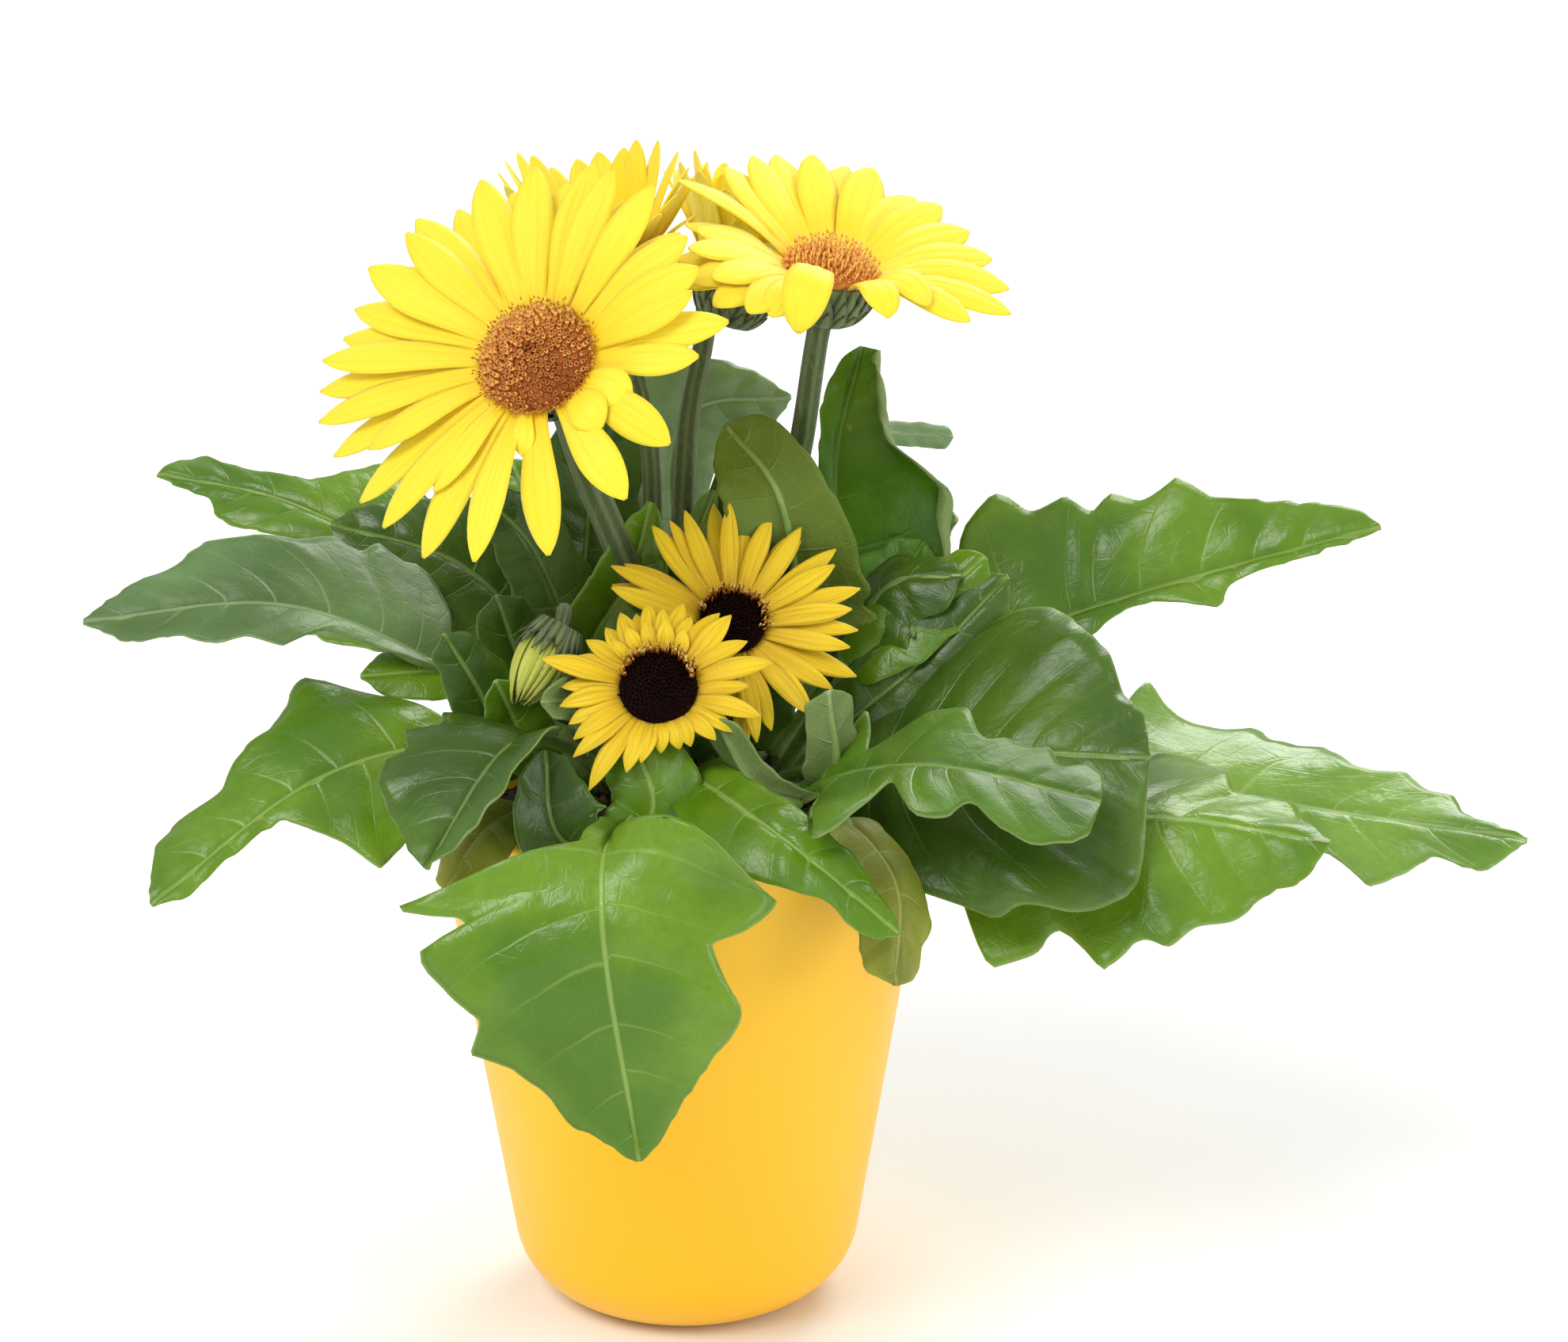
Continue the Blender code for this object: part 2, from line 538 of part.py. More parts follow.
def leaf_shares(leaf):
    """Shares of the midrib where a leaf has a row of corners: down the stem, then by lobes."""
    lobes = len(leaf["left"])
    edges = [0.0, *lobe_places(lobes), 1.0]
    shares = [leaf["stem"] * k / STEM_STATIONS for k in range(STEM_STATIONS)]
    parts = 2 if leaf["notch"] > DEEP_NOTCH else 1
    for start, end in zip(edges, edges[1:]):
        for k in range(parts):
            t = start + (end - start) * k / parts
            shares.append(leaf["stem"] + (1 - leaf["stem"]) * t)
    return [*shares, 1.0]


def make_leaf(name, leaf, bearing, collection, material):
    limb = leaf_limb(leaf, bearing)
    shares = leaf_shares(leaf)
    rows = len(shares) - 1
    bm = bmesh.new()
    bmesh.ops.create_grid(bm, x_segments=rows, y_segments=BLADE_COLUMNS, size=1.0)
    weights = bm.verts.layers.deform.verify()
    for corner in bm.verts:
        row = round((corner.co.x + 1) / 2 * rows)
        across = corner.co.y
        share = shares[row]
        corner.co = leaf_point(limb, leaf, share, across)
        in_blade = share > leaf["stem"]
        ridge = 1.0 - min(abs(across) * 2, 1.0)
        corner[weights][0] = MIDRIB_SHARE * ridge * (1 - share) if in_blade else 1.0
    mesh = bpy.data.meshes.new(name)
    bm.to_mesh(mesh)
    bm.free()
    item = add_object(name, mesh, collection, material)
    group = item.vertex_groups.new(name="thick")
    solid = item.modifiers.new("Solidify", "SOLIDIFY")
    solid.thickness = LEAF_STEM_THICKNESS
    solid.offset = 0
    solid.vertex_group = group.name
    solid.thickness_vertex_group = BLADE_THICKNESS / LEAF_STEM_THICKNESS
    return item


def make_stalk(name, limb, radius, collection, material):
    curve = bpy.data.curves.new(name, "CURVE")
    curve.dimensions = "3D"
    curve.bevel_depth = radius
    curve.bevel_resolution = STALK_SIDES
    curve.use_fill_caps = True
    spline = curve.splines.new("POLY")
    spline.points.add(STALK_POINTS - 1)
    for k, point in enumerate(spline.points):
        share = 0.5 - 0.5 * math.cos(math.pi * k / (STALK_POINTS - 1))
        point.co = (*limb.at(share)[0], 1.0)
        point.radius = STALK_FOOT + (STALK_TOP - STALK_FOOT) * share
    item = bpy.data.objects.new(name, curve)
    curve.materials.append(material)
    collection.objects.link(item)
    return item


def hub_radius(flower):
    return flower["eye_radius"] * MM + HUB_MARGIN


def petal_line(flower, outward, number, v):
    """A point (distance out, height) along a petal's middle, v from 0 at the hub to 1 at its tip."""
    side = outward.dot(Vector(flower["lean_to"]).normalized())
    steeper = flower["lean"] * side + RISE_SPREAD * math.sin(number * RISE_PHASE)
    rise = math.radians(flower["rise"] + steeper)
    droop = math.radians(flower["droop"])
    root = hub_radius(flower)
    length = (flower["reach"] * MM - root) * (1 - flower["shorter"] * side)
    length *= 1 + LENGTH_SPREAD * math.sin(number * LENGTH_PHASE)
    out = length * (math.sin(rise) - math.sin(rise - droop * v)) / droop
    up = length * (math.cos(rise - droop * v) - math.cos(rise)) / droop
    return root + out, up


def make_petals(name, flower, collection, material):
    """A flat hub with a ring of petals pulled out of its rim, one from each side."""
    turn = Vector(flower["facing"]).normalized().to_track_quat("Z", "Y")
    count = flower["petals"]
    half_space = math.tan(math.pi / count)
    root = hub_radius(flower)
    bm = bmesh.new()
    bmesh.ops.create_circle(bm, cap_ends=True, radius=root, segments=count)
    sides = [edge for edge in bm.edges if edge.is_boundary]
    for number, side in enumerate(sides):
        middle = (side.verts[0].co + side.verts[1].co) / 2
        outward = middle.normalized()
        aside = Vector((-outward.y, outward.x, 0))
        outer = side
        for v, share in PETAL_OUTLINE:
            grown = bmesh.ops.extrude_edge_only(bm, edges=[outer])["geom"]
            outer = next(piece for piece in grown if isinstance(piece, bmesh.types.BMEdge))
            out, up = petal_line(flower, turn @ outward, number, v)
            wide = max(out, root) * half_space * share
            for corner in outer.verts:
                sign = math.copysign(1, (corner.co - middle).dot(aside))
                corner.co = outward * out + Vector((0, 0, up)) + aside * (sign * wide)
    bmesh.ops.recalc_face_normals(bm, faces=bm.faces)
    mesh = bpy.data.meshes.new(name)
    bm.to_mesh(mesh)
    bm.free()
    item = add_object(name, mesh, collection, material)
    solid = item.modifiers.new("Solidify", "SOLIDIFY")
    solid.thickness = PETAL_THICKNESS
    solid.offset = 0
    item.location = millimetres(flower["hub"])
    item.rotation_mode = "QUATERNION"
    item.rotation_quaternion = turn


def scaled(profile, radius, height):
    return [(across * radius, up * height) for across, up in profile]


def make_flower(name, flower, collection, materials):
    axis = Vector(flower["facing"]).normalized()
    hub = millimetres(flower["hub"])
    radius, height = (size * MM for size in flower["cup"])
    stalk = flower["stalk_radius"] * MM
    under = hub - axis * (PETAL_THICKNESS / 2 + GAP + height)
    socket, out = crown_socket(flower["bearing"], flower["tier"])
    via = [millimetres(p) for p in flower["via"]]
    limb = Limb([socket, *via, under - axis * ROOT_GAP], out, axis)
    make_stalk(name.replace("flower", "stalk"), limb, stalk, collection, materials["stalk"])
    profile = [*scaled(CUP_PROFILE, radius, height), (stalk + COLLAR, 0), (0, 0)]
    turned(name + "_cup", profile, CUP_SEGMENTS, collection, materials["cup"], under, axis)
    shade = "young_petal" if flower["dark"] else "petal"
    make_petals(name + "_petals", flower, collection, materials[shade])
    dome = scaled(EYE_PROFILE, flower["eye_radius"] * MM, flower["eye_height"] * MM)
    shade = "dark_eye" if flower["dark"] else "eye"
    turned(name + "_eye", dome, EYE_SEGMENTS, collection, materials[shade],
           hub + axis * (PETAL_THICKNESS / 2 + GAP), axis)


def make_bud(collection, materials):
    axis = Vector(BUD["facing"]).normalized()
    base = millimetres(BUD["base"])
    radius, length = BUD["radius"] * MM, BUD["length"] * MM
    stalk = BUD["stalk_radius"] * MM
    socket, out = crown_socket(BUD["bearing"], BUD["tier"])
    via = [millimetres(p) for p in BUD["via"]]
    limb = Limb([socket, *via, base - axis * ROOT_GAP], out, axis)
    make_stalk("stalk_bud", limb, stalk, collection, materials["stalk"])
    profile = [*scaled(BUD_PROFILE, radius, length), (stalk + COLLAR, 0), (0, 0)]
    turned("bud", profile, CUP_SEGMENTS, collection, materials["bud"], base, axis)


def shade_round(collection):
    """Turned pieces and leaves look smooth, with an edge kept where two faces meet sharply."""
    for item in collection.objects:
        if item.type == "MESH":
            item.data.shade_smooth()
            item.data.set_sharp_from_angle(angle=math.radians(SHARP_ANGLE))


def main():
    clear_scene()
    collection = bpy.data.collections.new("gerbera_daisy")
    bpy.context.scene.collection.children.link(collection)
    materials = make_materials()
    make_pot(collection, materials)
    make_soil(collection, materials)
    make_crown(collection, materials)
    bearings = crown_bearings()
    for name, leaf in LEAVES.items():
        shade = "old_leaf" if name in OLD_LEAVES else "leaf"
        make_leaf(name, leaf, bearings[name], collection, materials[shade])
    for name, flower in FLOWERS.items():
        make_flower(name, flower, collection, materials)
    make_bud(collection, materials)
    shade_round(collection)


main()
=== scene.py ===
"""A potted gerbera daisy in bloom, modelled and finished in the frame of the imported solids."""

import bisect
import math
import random

import bmesh
import bpy
from mathutils import Matrix, Vector, noise


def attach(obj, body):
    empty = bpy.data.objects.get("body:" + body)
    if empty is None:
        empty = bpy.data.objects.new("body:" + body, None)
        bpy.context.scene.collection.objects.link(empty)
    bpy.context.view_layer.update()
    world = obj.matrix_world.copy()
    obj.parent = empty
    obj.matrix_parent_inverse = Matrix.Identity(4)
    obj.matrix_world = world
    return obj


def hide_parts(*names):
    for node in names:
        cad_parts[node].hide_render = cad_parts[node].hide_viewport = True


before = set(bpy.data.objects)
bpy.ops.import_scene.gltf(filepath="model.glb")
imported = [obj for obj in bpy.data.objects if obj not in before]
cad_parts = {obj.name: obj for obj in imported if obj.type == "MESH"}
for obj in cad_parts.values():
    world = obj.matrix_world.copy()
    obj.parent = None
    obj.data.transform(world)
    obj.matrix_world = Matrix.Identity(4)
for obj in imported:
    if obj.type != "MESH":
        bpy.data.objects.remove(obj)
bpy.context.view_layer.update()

MM = 0.001

# Pot, soil and crown, in metres, as the solids have them.
POT_RIM_RADIUS = 0.070
POT_FOOT_RADIUS = 0.046
POT_HEIGHT = 0.150
POT_WALL = 0.0035
POT_FOOT_ROUNDING = 0.022
POT_STEPS = 144
FOOT_STEPS = 12
LIP_STEPS = 8
SOIL_HEIGHT = 0.136
SOIL_DOME = 0.004
SOIL_CLEARANCE = 0.0004
CROWN_RADIUS = 0.030
CROWN_HEIGHT = 0.019
GAP = 0.0003
ROOT_GAP = 0.0006
STEM_SPACING = 0.0062
SPREADING_ROUNDS = 60

# The sheet of a leaf, as the solids have it.
LEAF_STEM_HALF_WIDTH = 0.0022
LEAF_TIP_HALF_WIDTH = 0.0007
LIMB_STEPS = 14
FIRST_LOBE, LAST_LOBE = 0.10, 0.92
MARGIN_WAVES = 2
MARGIN_WAVE = 0.06
LEFT_PHASE, RIGHT_PHASE = 1.0, 2.6

# The finer shape of a leaf: corners along and across, the quilting between the side veins, the
# groove over the midrib and the teeth, in metres where they are sizes.
ROW_SPACING = 0.0012
FEWEST_ROWS, MOST_ROWS = 36, 110
HALF_COLUMNS, COLUMN_CROWDING = 13, 1.15
FRAME_STEPS = 160
BLADE_THICKNESS = 0.0006
QUILT, BLISTER, BROAD_SWELL = 0.0009, 0.55, 2.4
GROOVE_DEPTH, GROOVE_WIDTH = 0.0005, 0.0014
RUFFLE = 0.03
RUFFLE_WAVES = 5.5
TOOTH_SPACING = 0.0085
TOOTH, TOOTH_RISE, TOOTH_FALL = 0.0011, 0.78, 0.22
LOBE_POINT = 0.55
VEIN_SPACING = 0.0115
VEIN_SHARE = 0.14
VEIN_LEAD = 1.1
VEIN_SHIFT = 0.65
VEIN_BEND = 1.6
RIB_RADIUS, RIB_END_RADIUS = 0.0023, 0.0004
RIB_STEPS, RIB_SIDES, RIB_END = 40, 10, 0.94
RIB_HEIGHT, RIB_GROOVE = 0.86, 0.28

# Flowers, as the solids have them.
STALK_FOOT, STALK_TOP = 1.12, 0.90
PETAL_THICKNESS = 0.0011
HUB_MARGIN = 0.0006
EYE_SHARE = 0.93

# Where a stem leaves the crown, as an angle above the horizontal on its dome.
LOW, MIDDLE, HIGH, TOP = 12, 34, 52, 72

# The finer shape of flowers: corners of a ray, ribs of a stalk, and the whorls of a cup, each with
# its lowest and highest place on the cup, its count and how far it stands proud in millimetres.
RAY_ROWS, RAY_COLUMNS, RAY_CROWDING = 14, 6, 1.35
RAY_ROOT, RAY_THICKNESS = 0.84, 0.00035
RAY_ARCH, RAY_GROOVE, RAY_GROOVE_PLACE, RAY_GROOVE_WIDTH = 0.13, 0.05, 0.36, 0.16
STALK_RINGS, STALK_SIDES, STALK_RIBS, RIB_DEPTH, STALK_SWELL = 46, 36, 7, 0.035, 0.12
CUP_STEPS, CUP_SIDES, BUD_SIDES = 12, 40, 28
BRACT_ROWS, BUD_ROWS, BRACT_THICKNESS = 6, 9, 0.0004
CUP_WHORLS = ((0.45, 1.10, 22, 0.1), (0.18, 0.86, 20, 0.5), (0.0, 0.56, 18, 0.8))
GOLDEN_ANGLE = 137.508

# The eyes: steps and sides of the dome, and how many florets, stamens and bristles stand on it.
DOME_STEPS, DOME_SIDES = 8, 40
OPEN_FLORETS, OPEN_STAMENS = 330, 170
BRUSH_STAMENS, BRUSH_FLORETS = 150, 160
DARK_BRISTLES, DARK_STAMENS = 230, 110

# Compost and crown: rings and sides, crumbs, old stem bases, and the seed of their roughness,
# which would come from the clock without one.
SOIL_RINGS, SOIL_SIDES, CRUMBS = 26, 96, 320
CROWN_STEPS, CROWN_SIDES, STEM_BASES = 14, 56, 90
ROUGHNESS_SEED = 1

# The camera stands where the photograph was taken from, with these distances in metres.
CAMERA_PLACE = (0.02775, -1.0, 0.4844)
CAMERA_PITCH = math.radians(16.83)
CAMERA_LENS, SENSOR_WIDTH = 87.33, 36

# The floor, the light of the surroundings, and the lamps: place, spread in degrees and strength.
FLOOR_RADIUS, FLOOR_SIDES, FLOOR_DROP = 6.0, 96, 0.0002
WORLD_LIGHT = 0.62
LIGHTS = {
    "key": ((-0.7, -0.9, 1.3), 29, 1.5),
    "back": ((0.5, 1.1, 1.1), 31, 1.65),
    "side": ((1.4, -0.6, 0.5), 30, 0.7),
}

# The rays of each flower that shows them one by one: hour on its face in degrees, reach and half
# width in millimetres, and how much steeper than the rest it rises and droops, in degrees.
TALL_LEFT_RAYS = (
    (351, 57, 5.8, 3, 0), (10, 57, 5.8, -1, 0), (16, 55, 5.0, 4, 0), (34, 55, 5.0, 3, 0),
    (52, 51, 5.6, 2, 4), (63, 50, 5.8, 4, 6), (72, 46, 5.6, 3, 8), (80, 52, 5.0, -12, 4),
    (121, 45, 5.6, -8, 26), (145, 48, 5.6, -10, 22), (113, 31, 5.6, 16, 60), (133, 30, 5.8, 22, 62),
    (173, 54, 5.6, -10, 18), (193, 57, 4.8, -4, 14), (209, 60, 5.2, -8, 16), (214, 44, 4.4, 2, 22),
    (223, 60, 4.8, -6, 14), (235, 62, 4.6, -8, 12), (244, 51, 4.4, 3, 14), (251, 63, 4.8, -6, 8),
    (259, 64, 5.0, -2, 6), (267, 65, 5.2, -5, 4), (274, 63, 5.2, 1, 4), (283, 61, 5.4, -5, 2),
    (290, 60, 5.4, -1, 2), (299, 59, 6.4, 3, 0), (306, 56, 5.6, -7, 0), (319, 60, 6.2, 2, 0),
    (329, 58, 5.4, -6, 0), (338, 58, 6.0, 1, 0), (358, 55, 5.4, -8, 0), (24, 53, 5.2, -8, 0),
    (44, 50, 5.2, -8, 0), (92, 44, 5.0, -12, 6), (184, 28, 3.4, 14, 50), (345, 56, 5.2, -9, 0),
    (312, 57, 5.2, 5, 0), (278, 60, 4.8, -9, 4),
)
TALL_BACK_RAYS = (
    (0, 42, 5.0, 12, 0), (20, 44, 5.0, 8, -4), (40, 44, 5.0, 0, 0), (58, 44, 5.2, -8, 4),
    (75, 43, 5.4, -14, 8), (92, 41, 5.4, -18, 12), (108, 39, 5.2, -18, 16), (126, 37, 5.2, -10, 14),
    (145, 37, 5.2, 2, 4), (165, 39, 5.2, 12, 0), (185, 43, 5.2, 16, -4), (205, 45, 5.0, 19, -6),
    (225, 47, 5.0, 23, -8), (245, 48, 5.0, 27, -8), (262, 48, 4.8, 29, -10), (280, 46, 4.6, 26, -6),
    (300, 42, 4.4, 16, 0), (320, 42, 4.6, 12, 0), (340, 42, 4.8, 12, 0), (250, 39, 4.0, 6, 0),
    (266, 38, 3.6, 0, 4), (282, 38, 3.6, 4, 6), (235, 40, 4.2, 10, 0), (50, 38, 4.8, -20, 4),
    (84, 37, 4.8, -28, 14), (102, 36, 4.6, -32, 16), (118, 35, 4.8, -26, 16),
)
TALL_RIGHT_RAYS = (
    (344, 46, 5.6, 14, -6), (358, 47, 6.0, 10, -8), (12, 46, 6.0, 14, -8), (24, 47, 6.2, 8, -6),
    (36, 47, 6.4, 12, -4), (50, 46, 6.2, 6, 0), (350, 44, 5.2, 2, 0), (5, 45, 5.4, 2, 0),
    (18, 45, 5.6, 2, 0), (31, 46, 5.6, 2, 0), (44, 46, 5.8, 0, 0), (62, 47, 6.0, 8, 0),
    (74, 48, 5.8, 2, 0), (86, 50, 5.0, -4, 4), (80, 52, 4.4, -10, 0), (96, 51, 4.8, -8, 6),
    (104, 50, 4.6, -12, 8), (112, 50, 4.2, -8, 6), (66, 44, 5.0, -6, 0), (124, 40, 4.4, -4, 16),
    (134, 32, 4.8, 40, 96), (168, 32, 5.0, 50, 116), (216, 47, 6.4, 58, 150), (228, 36, 5.4, 14, 50),
    (238, 38, 5.4, 2, 26), (250, 41, 5.2, -4, 16), (256, 38, 5.2, 8, 20), (264, 42, 5.2, -2, 14),
    (272, 41, 5.0, -10, 14), (280, 40, 5.0, 5, 8), (286, 42, 4.6, -7, 6), (293, 38, 5.0, 10, 10),
    (302, 41, 4.6, 2, 4), (311, 50, 3.0, 16, 16), (322, 44, 4.6, 8, 0), (333, 45, 5.4, 12, -4),
)
LOW_LEFT_RAYS = (
    (284, 32, 3.2, 4, 10), (296, 24, 2.8, 0, 10), (308, 24, 2.8, 6, 12), (320, 23, 2.8, 2, 10),
    (331, 24, 3.0, 10, 10), (342, 23, 2.6, 4, 10), (353, 25, 2.8, 8, 6), (4, 23, 2.6, 14, 10),
    (13, 26, 2.8, 2, 4), (24, 22, 2.6, 14, 10), (34, 27, 2.8, 4, 4), (46, 28, 3.0, 8, 6),
    (58, 27, 2.6, 2, 8), (76, 31, 3.0, 6, 14), (92, 24, 2.4, 0, 20), (109, 29, 2.8, 8, 22),
    (122, 24, 2.4, 2, 34), (136, 22, 2.4, 6, 40), (150, 20, 2.4, 18, 80), (163, 20, 2.4, 22, 96),
    (176, 20, 2.4, 20, 86), (188, 23, 2.4, 6, 40), (200, 26, 2.8, -4, 34), (214, 34, 3.0, -8, 24),
    (226, 30, 2.6, -2, 30), (238, 27, 2.8, 2, 34), (250, 26, 2.8, 4, 40), (262, 27, 3.0, 8, 40),
    (274, 26, 2.8, 0, 20), (350, 19, 2.2, 32, 16), (8, 19, 2.4, 34, 14), (28, 18, 2.2, 32, 16),
    (318, 18, 2.2, 30, 16), (334, 19, 2.2, 34, 14),
)

# Each leaf, in millimetres and degrees, with the words of USUAL where it has none of its own:
#   toward       what its foot on the crown points at, where it isn't the first point of via
#   via, tip     points that its midrib passes through, from the crown to the tip
#   tier         where its stem leaves the crown
#   stem         the share of the midrib that is bare stem
#   looks        the direction that its upper face looks in
#   tilt         how far the left and the right half rise above the level, at the blade's base and
#                at its tip
#   held         the share of the blade that keeps the tilt at the base
#   settled      the share of the blade by which the tilt at the tip is reached
#   curl         how much the margins roll up, as a share of the half width
#   notch        how deep the margin is cut between two lobes
#   lead         how far the side veins run forward, where it isn't VEIN_LEAD
#   quilt        how deep the quilting is, as a share of QUILT
#   point        how pointed its lobes are, where it isn't LOBE_POINT
#   rims         how far in from each margin it rolls up, and the radius of the roll
#   top, under   its finish on either side
#   left, right  half widths at its lobes, from the base of the blade to near the tip, seen from
#                above and from the root, or corners of (share of the blade's length, half width)
#   both         the same, for both sides alike
USUAL = dict(stem=0.34, tilt=(10, 10, 0, 0), curl=-0.05, notch=0.08, top="green", under="plain")

